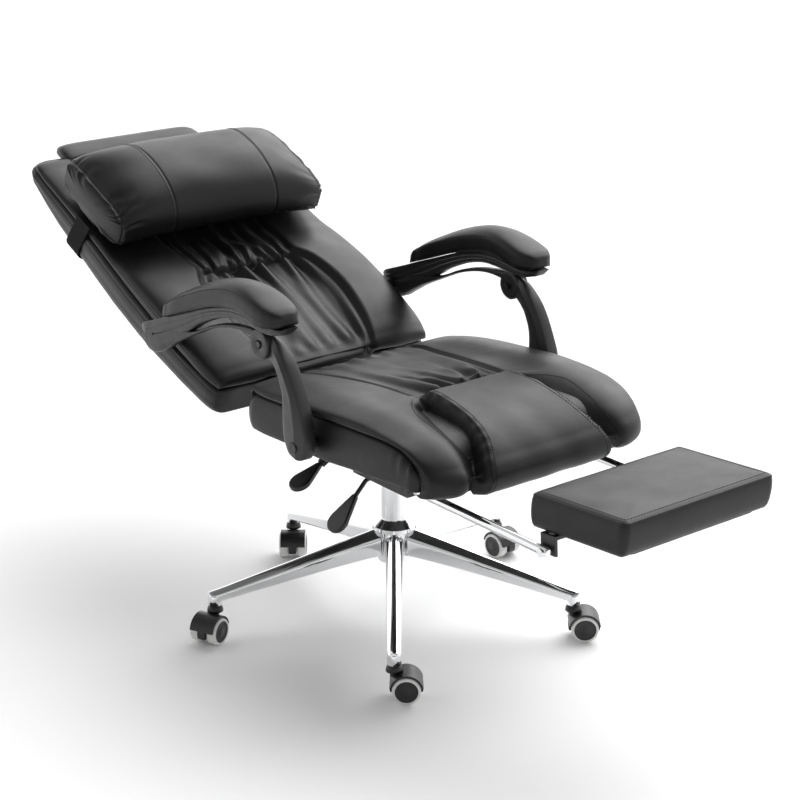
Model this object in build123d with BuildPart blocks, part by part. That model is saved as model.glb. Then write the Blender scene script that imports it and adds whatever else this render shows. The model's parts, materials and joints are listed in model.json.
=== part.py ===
from build123d import *
import os
from math import cos, radians, sin

os.makedirs("parts", exist_ok=True)

# Executive recliner chair with a pull-out footrest.
# Millimetres, +Z up. The origin is on the floor under the gas column, the chair faces -Y
# and the sitter's right hand is on -X. The rest pose has the back laid down and the footrest out.

# Clearances
running = 0.05          # radial clearance of a pin or shaft that turns in its bore
side_gap = 0.4          # between faces that turn past each other
seat_gap = 0.3          # between a soft piece and what it lies against

# Upholstery
side_bulge = 0.25       # bulge of a padded side as a share of its height

# Five-star base
arm_count = 5
base_radius = 344.0     # column axis to caster stem
base_turn = -38.3       # first arm, degrees from the front towards +X
hub_radius = 31.0
hub_bottom = 112.0
collar_bottom = 175.0
collar_radius = 41.0
collar_edge = 7.0
collar_height = 20.0
arm_root_top = 176.0
arm_root_depth = 50.0
arm_root_width = 35.0
arm_end_top = 94.0
arm_end_depth = 19.0
arm_end_width = 24.0
arm_ridge = 0.42        # ridge width as a share of the arm width
arm_bevel = 0.34        # bevel height as a share of the arm depth
arm_wall = 3.0
socket_radius = 12.5
socket_bottom = 66.0

# Casters
wheel_radius = 25.0
wheel_width = 19.0
wheel_round = 3.0
wheel_dish = 1.5
wheel_dish_radius = 20.0
caster_trail = 21.0
axle_radius = 4.0
web_width = 15.0
wheel_side_gap = 0.5
hood_gap = 0.9
hood_wall = 3.6
hood_top = 62.0
hood_skirt = 16.0       # height of the lower edge of the web
stem_radius = 5.5
stem_depth = 18.0       # stem inside the hood
stem_rise = 26.0        # stem inside the socket
# name, arm number, heading of the trailing wheels in degrees from +X
casters = [
    ("front_right", 0, -38.5),
    ("front_left", 1, -38.5),
    ("left", 2, -86.6),
    ("rear", 3, -128.5),
    ("right", 4, -156.5),
]

# Gas column
tube_radius = 25.0
tube_wall = 2.0
tube_bottom = 118.0
tube_top = 322.0
tube_floor = 6.0
bush_length = 92.0
cylinder_radius = 14.0
cylinder_wall = 2.0
cylinder_bottom = 150.0
cylinder_top = 372.0
cylinder_plug = 8.0
button_radius = 4.0
button_height = 7.0
piston_rod_radius = 5.0
piston_rod_top = 300.0
piston_radius = 11.5
piston_height = 8.0
bearing_radius = 12.0
bearing_height = 6.0

# Seat mechanism
board_bottom = 400.0
pan_bottom = 340.0
pan_width = 140.0
pan_front = -128.0
pan_rear = 125.0
pan_corner = 12.0
pan_wall = 3.0
flange_width = 220.0
boss_radius = 20.0
lug_x = 85.0
lug_thickness = 6.0
lug_radius = 16.0
lug_depth = 30.0
lug_front = 20.0
hinge_y = 200.0
hinge_z = 382.0
hinge_pin_radius = 6.0
hinge_head = 3.0
hinge_head_radius = 9.0

# Seat
board_thickness = 10.0
board_width = 410.0
board_front = -350.0
board_rear = 105.0
board_corner = 40.0
seat_rear = 118.0
seat_front = -372.0
seat_half = 254.0
boxing_height = 70.0
boxing_inset = 12.0     # how far the boxing draws in at its edges
boxing_corner = 45.0
cushion_edge = 13.0     # height of the cushion's side seam above the boxing
cushion_crown = 27.0
channel_depth = 8.0
nose_reach = 54.0       # front roll beyond the boxing
centre_half_rear = 104.0
centre_half_front = 160.0

# Back, with u measured up the back from its lower front edge and n out of its front face
back_rise = 24.0        # degrees above level at rest
back_y = 209.0
back_z = 436.0
back_length = 719.0
back_board_thickness = 12.0
back_board_width = 400.0
back_board_start = 22.0
back_board_margin = 37.0    # back board to the upper edge of the back
back_board_corner = 45.0
shell_bulge = 3.0       # bulge of the shell's sides
shell_corner = 16.0     # rounding of the shell's rear edges
iron_thickness = 6.0
iron_length = 240.0
iron_radius = 17.0
iron_foot = 14.0

# Head pillow and strap
pillow_start = 386.0
pillow_depth = 230.0
pillow_half = 262.0
pillow_seat = 20.8      # underside above the front face of the back
pillow_height = 130.0
strap_start = 522.0
strap_width = 42.0
strap_thickness = 2.0
strap_gap = 0.4
strap_half = 240.0      # half width of the back under the strap
strap_depth = 70.0      # depth of the back under the strap

# Arms: pivots in the side plane
seat_pivot_y = -103.0
seat_pivot_z = 433.0
disc_y = -3.0
disc_z = 591.0
rear_pivot_y = 354.0
rear_pivot_z = 516.0
arm_offset = 8.0        # side of the seat to the arm
upright_width = 36.0
frame_inset = 11.0      # arched plate behind the inner face of the upright
frame_width = 20.0
rail_width = 48.0
rail_depth = 9.0
disc_radius = 27.0
knuckle_radius = 24.0
arm_pin_radius = 6.0
arm_head_radius = 10.0
arm_head = 3.0
rear_pin_radius = 5.0
rear_play = 4.6         # radial play of the rear arm bolt in its hole
rear_head_radius = 14.5
rear_sleeve_radius = 11.0
rear_block = 28.0
rear_block_x = 176.0

# Footrest
rod_x = 172.0
rod_z = 379.0
rod_radius = 8.0
rod_front = -606.0
rod_rear = -150.0
guide_front = -270.0
guide_length = 150.0
guide_width = 26.0
guide_floor = 5.0
flip_y = -596.0
flip_pin_radius = 4.0
flip_head_radius = 7.0
flip_head = 3.0
foot_tilt = 4.15
foot_width = 331.0
foot_length = 211.0
foot_rear = 37.7        # rear edge behind the flip axis
foot_lift = 25.0        # underside above the flip axis
foot_thickness = 63.0
foot_board = 8.0
foot_board_margin = 20.0
tab_thickness = 4.5
tab_rear = 18.0
tab_front = 16.0
tab_drop = 8.0
bar_width = 11.0
bar_thickness = 6.0

# Levers: y, the bend and the tip in X and Z
lever_radius = 4.0
lever_pivot_x = -57.0
lever_pivot_z = 352.0
lever_pin_radius = 3.0
lever_eye_radius = 7.0
lever_eye_width = 10.0
ear_thickness = 4.0
lever_slot_radius = 8.0
levers = {
    "height": dict(y=-111.0, bend=(-150.0, 340.0), tip=(-227.0, 262.0), paddle=78.0),
    "recline": dict(y=19.0, bend=(-132.0, 342.0), tip=(-217.0, 297.0), paddle=72.0),
}
paddle_width = 44.0
paddle_thickness = 10.0
paddle_neck = 13.0
boot_radius = 8.5
boot_groove = 6.0
boot_length = 22.0
boot_ribs = 5

# Values worked out from the driving dimensions
boxing_bottom = board_bottom + board_thickness
boxing_top = boxing_bottom + boxing_height
axle_z = wheel_radius
stem_bottom = hood_top - stem_depth
stem_top = socket_bottom + stem_rise
socket_top = arm_end_top + 1.0
back_board_length = back_length - back_board_start - back_board_margin
upright_inner = seat_half + arm_offset
upright_outer = upright_inner + upright_width
frame_inner = upright_inner + frame_inset
frame_outer = frame_inner + frame_width
rail_inner = upright_inner
rail_outer = rail_inner + rail_width
pad_centre = rail_inner + rail_width / 2
rise = radians(back_rise)


def save(piece, name):
    piece.part.label = name
    export_step(piece.part, f"parts/{name}.step")


def arm_heading(index):
    """Unit vectors out along a base arm and across it."""
    angle = radians(base_turn + index * 360 / arm_count)
    return Vector(sin(angle), -cos(angle), 0), Vector(cos(angle), sin(angle), 0)


def cross_plane(y):
    """Upright plane across the chair at y, looking along +Y from the front."""
    return Plane(origin=(0, y, 0), x_dir=(1, 0, 0), z_dir=(0, -1, 0))


def from_back(u, n):
    """Point of the side plane at u up the back and n out of its front face."""
    return (back_y + u * cos(rise) - n * sin(rise), back_z + u * sin(rise) + n * cos(rise))


def back_section(u):
    """Plane square to the back at u: local x across, local y out of the front face."""
    y, z = from_back(u, 0)
    return Plane(origin=(0, y, z), x_dir=(-1, 0, 0), z_dir=(0, cos(rise), sin(rise)))


def back_face(n):
    """Plane on the back's front face, raised by n: local x across, local y up the back."""
    y, z = from_back(0, n)
    return Plane(origin=(0, y, z), x_dir=(1, 0, 0), z_dir=(0, -sin(rise), cos(rise)))


def pad_section(half, base, edge, crown):
    """Edges of a plain padded section: flat base, bulged sides and a crowned top."""
    inset = side_bulge * (edge - base)
    Line((-half + inset, base), (half - inset, base))
    ThreePointArc((half - inset, base), (half, (base + edge) / 2), (half - inset, edge))
    ThreePointArc((half - inset, edge), (0, crown), (-half + inset, edge))
    ThreePointArc((-half + inset, edge), (-half, (base + edge) / 2), (-half + inset, base))


def channelled_section(half, base, edge, centre, bolster, channel, middle):
    """Edges of a padded section with two sewn channels between side bolsters and a centre panel."""
    inset = side_bulge * (edge - base)
    roll = (half - inset + centre) / 2
    Line((-half + inset, base), (half - inset, base))
    ThreePointArc((half - inset, base), (half, (base + edge) / 2), (half - inset, edge))
    ThreePointArc((half - inset, edge), (roll, bolster), (centre, channel))
    ThreePointArc((centre, channel), (0, middle), (-centre, channel))
    ThreePointArc((-centre, channel), (-roll, bolster), (-half + inset, edge))
    ThreePointArc((-half + inset, edge), (-half, (base + edge) / 2), (-half + inset, base))


# Base hub with its collar
with BuildPart() as base_hub:
    with BuildSketch(Plane.XZ):
        with BuildLine():
            Polyline(
                (tube_radius, hub_bottom),
                (hub_radius, hub_bottom),
                (hub_radius, collar_bottom),
                (collar_radius, collar_bottom),
                (collar_radius, collar_bottom + collar_edge),
                (tube_radius + tube_wall, collar_bottom + collar_height),
                (tube_radius, collar_bottom + collar_height),
                close=True,
            )
        make_face()
    revolve(axis=Axis.Z)
save(base_hub, "base_hub")


def arm_outline(width, top, depth, wall, open_below):
    """Corners of a base arm's section, or of the hollow inside it."""
    half = width / 2 - wall
    ridge = half * arm_ridge
    shoulder = top - wall - depth * arm_bevel
    bottom = top - depth - open_below
    return [
        (-half, bottom),
        (half, bottom),
        (half, shoulder),
        (ridge, top - wall),
        (-ridge, top - wall),
        (-half, shoulder),
    ]


# Base arms: hollow tapered pressings, open below, with a socket at each end
with BuildPart() as base_arms:
    for arm in range(arm_count):
        outward, across = arm_heading(arm)
        root = Plane(origin=outward * (hub_radius / 2), x_dir=across, z_dir=outward)
        end = Plane(origin=outward * base_radius, x_dir=across, z_dir=outward)
        inner_end = Plane(
            origin=outward * (base_radius - socket_radius - arm_wall), x_dir=across, z_dir=outward
        )
        with BuildSketch(root):
            Polygon(*arm_outline(arm_root_width, arm_root_top, arm_root_depth, 0, 0), align=None)
        with BuildSketch(end):
            Polygon(*arm_outline(arm_end_width, arm_end_top, arm_end_depth, 0, 0), align=None)
        loft(ruled=True)
        with BuildSketch(root):
            Polygon(
                *arm_outline(arm_root_width, arm_root_top, arm_root_depth, arm_wall, arm_wall),
                align=None,
            )
        with BuildSketch(inner_end):
            Polygon(
                *arm_outline(arm_end_width, arm_end_top, arm_end_depth, arm_wall, arm_wall),
                align=None,
            )
        loft(ruled=True, mode=Mode.SUBTRACT)
        stem_place = outward * base_radius
        with BuildSketch(Plane(origin=stem_place + (0, 0, socket_bottom))):
            Circle(socket_radius)
        extrude(amount=socket_top - socket_bottom)
        with BuildSketch(Plane(origin=stem_place + (0, 0, socket_bottom))):
            Circle(stem_radius)
        extrude(amount=stem_rise, mode=Mode.SUBTRACT)
    with BuildSketch(Plane.XY):
        Circle(hub_radius)
    extrude(amount=2 * arm_root_top, mode=Mode.SUBTRACT)
save(base_arms, "base_arms")

# Caster stems, pressed into the sockets
with BuildPart() as caster_stems:
    for arm in range(arm_count):
        outward, across = arm_heading(arm)
        with BuildSketch(Plane(origin=outward * base_radius + (0, 0, stem_bottom))):
            Circle(stem_radius)
        extrude(amount=stem_top - stem_bottom)
save(caster_stems, "caster_stems")


def make_caster(name, arm, heading):
    """One twin-wheel caster: hood, axle and two wheels."""
    outward, across = arm_heading(arm)
    place = outward * base_radius
    ahead = Vector(cos(radians(heading)), sin(radians(heading)), 0)
    beside = Vector(ahead.Y, -ahead.X, 0)
    side = Plane(origin=place, x_dir=ahead, z_dir=beside)
    axle_plane = Plane(origin=place + ahead * caster_trail + (0, 0, axle_z), x_dir=ahead, z_dir=beside)
    cover_inner = wheel_radius + hood_gap
    cover_outer = cover_inner + hood_wall
    wheel_start = web_width / 2 + wheel_side_gap
    wheel_end = wheel_start + wheel_width

    with BuildPart() as hood:
        with BuildSketch(side):
            with Locations((caster_trail, axle_z)):
                Circle(cover_outer)
            with Locations((caster_trail, hood_skirt - cover_outer)):
                Rectangle(4 * cover_outer, 2 * cover_outer, mode=Mode.SUBTRACT)
        extrude(amount=web_width / 2, both=True)
        with BuildSketch(side):
            with Locations((caster_trail, axle_z)):
                Circle(cover_outer)
                Circle(cover_inner, mode=Mode.SUBTRACT)
            with Locations((caster_trail, hood_skirt - cover_outer / 2)):
                Rectangle(4 * cover_outer, 2 * cover_outer, mode=Mode.SUBTRACT)
        extrude(amount=wheel_end - wheel_round, both=True)
        with BuildSketch(Plane(origin=place + (0, 0, stem_bottom))):
            Circle(web_width / 2)
        extrude(amount=hood_top - stem_bottom)
        with BuildSketch(Plane(origin=place + (0, 0, stem_bottom))):
            Circle(stem_radius + running)
        extrude(amount=hood_top, mode=Mode.SUBTRACT)
        with BuildSketch(axle_plane):
            Circle(axle_radius)
        extrude(amount=web_width, both=True, mode=Mode.SUBTRACT)
    save(hood, f"caster_{name}_hood")

    with BuildPart() as axle:
        with BuildSketch(axle_plane):
            Circle(axle_radius)
        extrude(amount=wheel_end - wheel_dish - wheel_round, both=True)
    save(axle, f"caster_{name}_axle")

    for hand, sign in (("a", 1), ("b", -1)):
        inner_face = axle_plane.offset(sign * wheel_start)
        outer_face = axle_plane.offset(sign * wheel_end)
        with BuildPart() as wheel:
            with BuildSketch(inner_face):
                Circle(wheel_radius)
            extrude(amount=sign * wheel_width)
            fillet(wheel.edges().filter_by(GeomType.CIRCLE), radius=wheel_round)
            with BuildSketch(outer_face):
                Circle(wheel_dish_radius)
            extrude(amount=-sign * wheel_dish, mode=Mode.SUBTRACT)
            with BuildSketch(inner_face):
                Circle(axle_radius + running)
            extrude(amount=sign * (wheel_width - wheel_dish - wheel_round + seat_gap), mode=Mode.SUBTRACT)
        save(wheel, f"caster_{name}_wheel_{hand}")


for caster in casters:
    make_caster(*caster)

# Gas column: outer tube with a floor
with BuildPart() as gas_tube:
    with BuildSketch(Plane.XZ):
        with BuildLine():
            Polyline(
                (piston_rod_radius + running, tube_bottom),
                (tube_radius, tube_bottom),
                (tube_radius, tube_top),
                (tube_radius - tube_wall, tube_top),
                (tube_radius - tube_wall, tube_bottom + tube_floor),
                (piston_rod_radius + running, tube_bottom + tube_floor),
                close=True,
            )
        make_face()
    revolve(axis=Axis.Z)
save(gas_tube, "gas_tube")

# Guide bush in the mouth of the tube
with BuildPart() as gas_bush:
    with BuildSketch(Plane.XY.offset(tube_top - bush_length)):
        Circle(tube_radius - tube_wall)
        Circle(cylinder_radius + running, mode=Mode.SUBTRACT)
    extrude(amount=bush_length)
save(gas_bush, "gas_bush")

# Piston rod, standing on the thrust bearing
with BuildPart() as piston_rod:
    with BuildSketch(Plane.XY.offset(hub_bottom)):
        Circle(piston_rod_radius)
    extrude(amount=piston_rod_top - hub_bottom)
    with BuildSketch(Plane.XY.offset(piston_rod_top)):
        Circle(piston_radius)
    extrude(amount=piston_height)
save(piston_rod, "piston_rod")

# Thrust bearing on the tube floor
with BuildPart() as thrust_bearing:
    with BuildSketch(Plane.XY.offset(tube_bottom + tube_floor + seat_gap)):
        Circle(bearing_radius)
        Circle(piston_rod_radius, mode=Mode.SUBTRACT)
    extrude(amount=bearing_height)
save(thrust_bearing, "thrust_bearing")

# Gas cylinder with its release button on top
with BuildPart() as gas_cylinder:
    with BuildSketch(Plane.XZ):
        with BuildLine():
            Polyline(
                (piston_rod_radius + running, cylinder_bottom),
                (cylinder_radius, cylinder_bottom),
                (cylinder_radius, cylinder_top),
                (button_radius, cylinder_top),
                (button_radius, cylinder_top + button_height),
                (0, cylinder_top + button_height),
                (0, cylinder_top - cylinder_plug),
                (cylinder_radius - cylinder_wall, cylinder_top - cylinder_plug),
                (cylinder_radius - cylinder_wall, cylinder_bottom + cylinder_plug),
                (piston_rod_radius + running, cylinder_bottom + cylinder_plug),
                close=True,
            )
        make_face()
    revolve(axis=Axis.Z)
save(gas_cylinder, "gas_cylinder")

# Seat mechanism: pressed pan, flange, column boss, hinge lugs and lever ears
with BuildPart() as mechanism_housing:
    pan_middle = (pan_front + pan_rear) / 2
    pan_length = pan_rear - pan_front
    flange_bottom = board_bottom - pan_wall
    with BuildSketch(Plane.XY.offset(pan_bottom)):
        with Locations((0, pan_middle)):
            RectangleRounded(pan_width, pan_length, pan_corner)
    extrude(amount=board_bottom - pan_bottom)
    with BuildSketch(Plane.XY.offset(flange_bottom)):
        with Locations((0, pan_middle)):
            RectangleRounded(flange_width, pan_length, pan_corner)
    extrude(amount=pan_wall)
    with BuildSketch(Plane.XY.offset(pan_bottom + pan_wall)):
        with Locations((0, pan_middle)):
            RectangleRounded(
                pan_width - 2 * pan_wall, pan_length - 2 * pan_wall, pan_corner - pan_wall
            )
    extrude(amount=board_bottom - pan_bottom, mode=Mode.SUBTRACT)
    with BuildSketch(Plane.XY.offset(pan_bottom)):
        Circle(boss_radius)
    extrude(amount=cylinder_top - pan_bottom)
    with BuildSketch(Plane.XY.offset(pan_bottom)):
        Circle(cylinder_radius)
    extrude(amount=board_bottom, mode=Mode.SUBTRACT)
    for lug_plane in (Plane.YZ.offset(lug_x), Plane.YZ.offset(-lug_x - lug_thickness)):
        with BuildSketch(lug_plane):
            with Locations((hinge_y, hinge_z)):
                Circle(lug_radius)
            Polygon(
                (lug_front, flange_bottom),
                (lug_front, flange_bottom - lug_depth),
                (hinge_y, hinge_z - lug_radius),
                (hinge_y, hinge_z + lug_radius),
                (pan_rear, flange_bottom),
                align=None,
            )
            with Locations((hinge_y, hinge_z)):
                Circle(hinge_pin_radius, mode=Mode.SUBTRACT)
        extrude(amount=lug_thickness)
    for lever in levers.values():
        ear_start = lever_eye_width / 2 + side_gap
        for ear_y in (lever["y"] - ear_start - ear_thickness, lever["y"] + ear_start):
            with BuildSketch(cross_plane(ear_y + ear_thickness)):
                with Locations((-pan_width / 2 + pan_wall, pan_bottom + pan_wall)):
                    Rectangle(
                        lever_pivot_x + pan_width / 2 - pan_wall + lever_eye_radius,
                        lever_pivot_z - pan_bottom - pan_wall + lever_eye_radius,
                        align=(Align.MIN, Align.MIN),
                    )
            extrude(amount=ear_thickness)
        with BuildSketch(cross_plane(lever["y"])):
            with Locations((lever_pivot_x, lever_pivot_z)):
                Circle(lever_pin_radius)
        extrude(amount=ear_start + ear_thickness, both=True)
        with BuildSketch(Plane(origin=(-pan_width / 2, lever["y"], lever_pivot_z), z_dir=(1, 0, 0))):
            Circle(lever_slot_radius)
        extrude(amount=pan_wall, both=True, mode=Mode.SUBTRACT)
save(mechanism_housing, "mechanism_housing")

# Seat board
with BuildPart() as seat_board:
    with BuildSketch(Plane.XY.offset(board_bottom)):
        with Locations((0, (board_front + board_rear) / 2)):
            RectangleRounded(board_width, board_rear - board_front, board_corner)
    extrude(amount=board_thickness)
save(seat_board, "seat_board")

# Seat boxing: the padded band round the seat, drawn in above and below
with BuildPart() as seat_boxing:
    seat_middle = (seat_front + seat_rear) / 2
    seat_length = seat_rear - seat_front
    for level, inset in (
        (boxing_bottom, boxing_inset),
        (boxing_bottom + boxing_height / 2, 0),
        (boxing_top, boxing_inset / 2),
    ):
        with BuildSketch(Plane.XY.offset(level)):
            with Locations((0, seat_middle)):
                RectangleRounded(2 * (seat_half - inset), seat_length - 2 * inset, boxing_corner - inset)
    loft()
    with BuildSketch(Plane.YZ):
        with Locations((seat_pivot_y, seat_pivot_z)):
            Circle(arm_pin_radius)
    extrude(amount=upright_inner, both=True, mode=Mode.SUBTRACT)
save(seat_boxing, "seat_boxing")

# Seat cushion: crowned top with two sewn channels, and a front roll over the boxing
cushion_base = boxing_top
cushion_side = cushion_base + cushion_edge
cushion_top = cushion_base + cushion_crown
front_roll_top = cushion_top - channel_depth / 2
# y, half width, drop of the section, half width of the centre panel
cushion_stations = [
    (seat_rear - 4, seat_half - 16, 12.0, centre_half_rear),
    (seat_rear - 40, seat_half - 4, 4.0, centre_half_rear),
    (-100.0, seat_half + 4, 0.0, centre_half_rear),
    (-240.0, seat_half + 2, 0.0, (centre_half_rear + centre_half_front) / 2),
    (seat_front - 3.0, seat_half - 8, 3.0, centre_half_front),
]
# x as a share of the half width, draw-in of the roll
roll_stations = [
    (-1.0, 30.0),
    (-0.9, 8.0),
    (-0.66, 9.0),
    (-0.45, 1.0),
    (0.0, 0.0),
    (0.45, 1.0),
    (0.66, 9.0),
    (0.9, 8.0),
    (1.0, 30.0),
]
with BuildPart() as seat_cushion:
    for y, half, drop, centre in cushion_stations:
        with BuildSketch(cross_plane(y)):
            with BuildLine():
                channelled_section(
                    half,
                    cushion_base,
                    cushion_side - drop / 2,
                    centre,
                    cushion_top - drop,
                    cushion_top - channel_depth - drop,
                    cushion_top - channel_depth / 4 - drop,
                )
            make_face()
    loft()
    for share, draw in roll_stations:
        reach = seat_front - nose_reach + draw
        top = front_roll_top - draw / 2
        bottom = boxing_bottom + draw / 2
        middle = (top + bottom) / 2
        with BuildSketch(Plane.YZ.offset(share * (seat_half - boxing_inset))):
            with BuildLine():
                Line((seat_front - seat_gap, bottom), (seat_front - seat_gap, top))
                ThreePointArc(
                    (seat_front - seat_gap, top),
                    (reach + nose_reach * 0.25, (top + middle) / 2 + nose_reach * 0.22),
                    (reach, middle),
                )
                ThreePointArc(
                    (reach, middle),
                    (reach + nose_reach * 0.2, (bottom + middle) / 2 - nose_reach * 0.16),
                    (seat_front - seat_gap, bottom),
                )
            make_face()
    loft()
save(seat_cushion, "seat_cushion")

# Footrest guides under the seat board
with BuildPart() as footrest_guides:
    guide_bottom = rod_z - rod_radius - guide_floor
    with BuildSketch(cross_plane(guide_front + guide_length)):
        with Locations((-rod_x, 0), (rod_x, 0)):
            with Locations((0, guide_bottom)):
                Rectangle(guide_width, board_bottom - guide_bottom, align=(Align.CENTER, Align.MIN))
            with Locations((0, rod_z)):
                Circle(rod_radius + running, mode=Mode.SUBTRACT)
    extrude(amount=guide_length)
save(footrest_guides, "footrest_guides")

# Recline hinge pins, riveted in the lugs
with BuildPart() as hinge_pins:
    pin_inner = lug_x - hinge_head
    pin_outer = lug_x + lug_thickness + side_gap + iron_thickness + side_gap
    for side in (1, -1):
        for start, stop, radius in (
            (pin_inner, lug_x, hinge_head_radius),
            (lug_x, pin_outer, hinge_pin_radius),
            (pin_outer, pin_outer + hinge_head, hinge_head_radius),
        ):
            with BuildSketch(Plane.YZ.offset(side * start)):
                with Locations((hinge_y, hinge_z)):
                    Circle(radius)
            extrude(amount=side * (stop - start))
save(hinge_pins, "hinge_pins")


def draw_iron(extra):
    """Outline of a back iron in the side plane, widened by extra where the shell clears it."""
    with Locations((hinge_y, hinge_z)):
        Circle(iron_radius)
    Polygon(
        (hinge_y, hinge_z - iron_radius),
        from_back(back_board_start, -back_board_thickness - 2.6 * iron_foot - extra),
        from_back(iron_length + extra, -back_board_thickness - iron_foot - extra),
        from_back(iron_length + extra, -back_board_thickness),
        from_back(back_board_start, -back_board_thickness),
        (hinge_y - iron_radius, hinge_z),
        align=None,
    )


# Back irons, from the hinge up the rear of the back board
iron_x = lug_x + lug_thickness + side_gap
with BuildPart() as back_irons:
    for side in (1, -1):
        with BuildSketch(Plane.YZ.offset(side * iron_x)):
            draw_iron(0)
            with Locations((hinge_y, hinge_z)):
                Circle(hinge_pin_radius + running, mode=Mode.SUBTRACT)
        extrude(amount=side * iron_thickness)
save(back_irons, "back_irons")

# Back board
with BuildPart() as back_board:
    with BuildSketch(back_face(-back_board_thickness)):
        with Locations((0, back_board_start + back_board_length / 2)):
            RectangleRounded(back_board_width, back_board_length, back_board_corner)
    extrude(amount=back_board_thickness)
save(back_board, "back_board")

# Back shell: rear upholstery, bowed to the rear, with pockets for the board and the irons
# u, half width, depth behind the front face
shell_stations = [
    (0.0056 * back_length, 238.0, 50.0),
    (0.1808 * back_length, 247.0, 68.0),
    (0.4868 * back_length, 245.0, 80.0),
    (strap_start, strap_half, strap_depth),
    (back_length, 234.0, 36.0),
]
with BuildPart() as back_shell:
    for u, half, depth in shell_stations:
        with BuildSketch(back_section(u)):
            with BuildLine():
                Line((half, 0), (-half, 0))
                side = half + shell_bulge
                corner = (half - shell_corner, -depth * 0.9)
                ThreePointArc((-half, 0), (-side, -depth * 0.45), (-corner[0], corner[1]))
                ThreePointArc((-corner[0], corner[1]), (0, -depth), corner)
                ThreePointArc(corner, (side, -depth * 0.45), (half, 0))
            make_face()
    loft()
    with BuildSketch(back_face(-back_board_thickness)):
        with Locations((0, back_board_start + back_board_length / 2)):
            RectangleRounded(back_board_width, back_board_length, back_board_corner)
    extrude(amount=2 * back_board_thickness, mode=Mode.SUBTRACT)
    for side in (1, -1):
        with BuildSketch(Plane.YZ.offset(side * (iron_x - seat_gap))):
            draw_iron(seat_gap)
        extrude(amount=side * (iron_thickness + 2 * seat_gap), mode=Mode.SUBTRACT)
save(back_shell, "back_shell")

# Back cushion: two side bolsters, a centre panel between sewn channels, and a raised top edge
# share of the back's length, half width, bolster height, centre height, half width of the centre panel
back_stations = [
    (0.0083, 236.0, 20.0, 12.0, 140.0),
    (0.0834, 246.0, 34.0, 22.0, 130.0),
    (0.2782, 248.0, 37.0, 20.0, 112.0),
    (0.4103, 247.0, 32.0, 15.0, 106.0),
    (0.5285, 245.0, 19.0, 12.0, 112.0),
    (0.8345, 238.0, 19.0, 14.0, 140.0),
    (0.9597, 234.0, 18.0, 16.0, 156.0),
    (1.0, 228.0, 12.0, 11.0, 158.0),
]
top_roll_length = 50.0
rear_u = (rear_pivot_y - back_y) * cos(rise) + (rear_pivot_z - back_z) * sin(rise)
rear_n = (rear_pivot_z - back_z) * cos(rise) - (rear_pivot_y - back_y) * sin(rise)
with BuildPart() as back_cushion:
    for share, half, bolster, centre_height, centre in back_stations:
        with BuildSketch(back_section(share * back_length)):
            with BuildLine():
                channelled_section(
                    half,
                    0,
                    bolster * 0.6,
                    centre,
                    bolster,
                    centre_height - channel_depth * 0.6,
                    centre_height,
                )
            make_face()
    loft()
    for u, half, low, high in (
        (back_length, 158.0, 0.0, 10.0),
        (back_length + top_roll_length * 0.6, 156.0, -14.0, 9.0),
        (back_length + top_roll_length, 146.0, -18.0, 2.0),
    ):
        with BuildSketch(back_section(u)):
            with BuildLine():
                pad_section(half, low, low + (high - low) * 0.7, high)
            make_face()
    loft()
    with BuildSketch(back_face(0)):
        with Locations((rear_block_x + rear_block / 2, rear_u), (-rear_block_x - rear_block / 2, rear_u)):
            Rectangle(rear_block, rear_block)
    extrude(amount=rear_n + 2 * rear_pin_radius, mode=Mode.SUBTRACT)
    with BuildSketch(Plane.YZ):
        with Locations((rear_pivot_y, rear_pivot_z)):
            Circle(rear_pin_radius)
    extrude(amount=frame_outer, both=True, mode=Mode.SUBTRACT)
save(back_cushion, "back_cushion")

# Head pillow: three panels between two seams, plump in the middle and gathered at its ends
# x as a share of the half width, draw-in of the section
pillow_stations = [
    (-1.0, 30.0),
    (-0.93, 10.0),
    (-0.7, 2.0),
    (-0.46, 5.0),
    (0.0, 0.0),
    (0.46, 5.0),
    (0.7, 2.0),
    (0.93, 10.0),
    (1.0, 30.0),
]
with BuildPart() as head_pillow:
    for share, draw in pillow_stations:
        low = pillow_start + draw
        high = pillow_start + pillow_depth - draw
        base = pillow_seat + draw * 0.4
        top = pillow_seat + pillow_height - draw
        side_u, side_n = from_back(0, 0)
        pillow_plane = Plane(
            origin=(share * pillow_half, side_u, side_n),
            x_dir=(0, cos(rise), sin(rise)),
            z_dir=(1, 0, 0),
        )
        lift = (top - base) * 0.5
        with BuildSketch(pillow_plane):
            with BuildLine():
                Line((low + 22, base), (high - 22, base))
                ThreePointArc((high - 22, base), (high - 1, base + lift * 0.4), (high - 4, base + lift))
                ThreePointArc((high - 4, base + lift), ((low + high) / 2, top), (low + 4, base + lift))
                ThreePointArc((low + 4, base + lift), (low + 1, base + lift * 0.4), (low + 22, base))
            make_face()
    loft()
save(head_pillow, "head_pillow")

# Pillow strap: a flat elastic band round the sides and the rear of the back
strap_side = strap_half + shell_bulge * 1.36 + strap_gap
strap_rear = strap_depth + strap_gap
strap_corner = 12.0
strap_front = pillow_seat + 4.0
with BuildPart() as pillow_strap:
    with BuildSketch(back_section(strap_start)):
        with BuildLine():
            outer = FilletPolyline(
                (-strap_side - strap_thickness, strap_front),
                (-strap_side - strap_thickness, -strap_rear - strap_thickness),
                (strap_side + strap_thickness, -strap_rear - strap_thickness),
                (strap_side + strap_thickness, strap_front),
                radius=strap_corner + strap_thickness,
            )
            inner = FilletPolyline(
                (-strap_side, strap_front),
                (-strap_side, -strap_rear),
                (strap_side, -strap_rear),
                (strap_side, strap_front),
                radius=strap_corner,
            )
            Line(outer @ 0, inner @ 0)
            Line(outer @ 1, inner @ 1)
        make_face()
    extrude(amount=strap_width)
save(pillow_strap, "pillow_strap")


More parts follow.
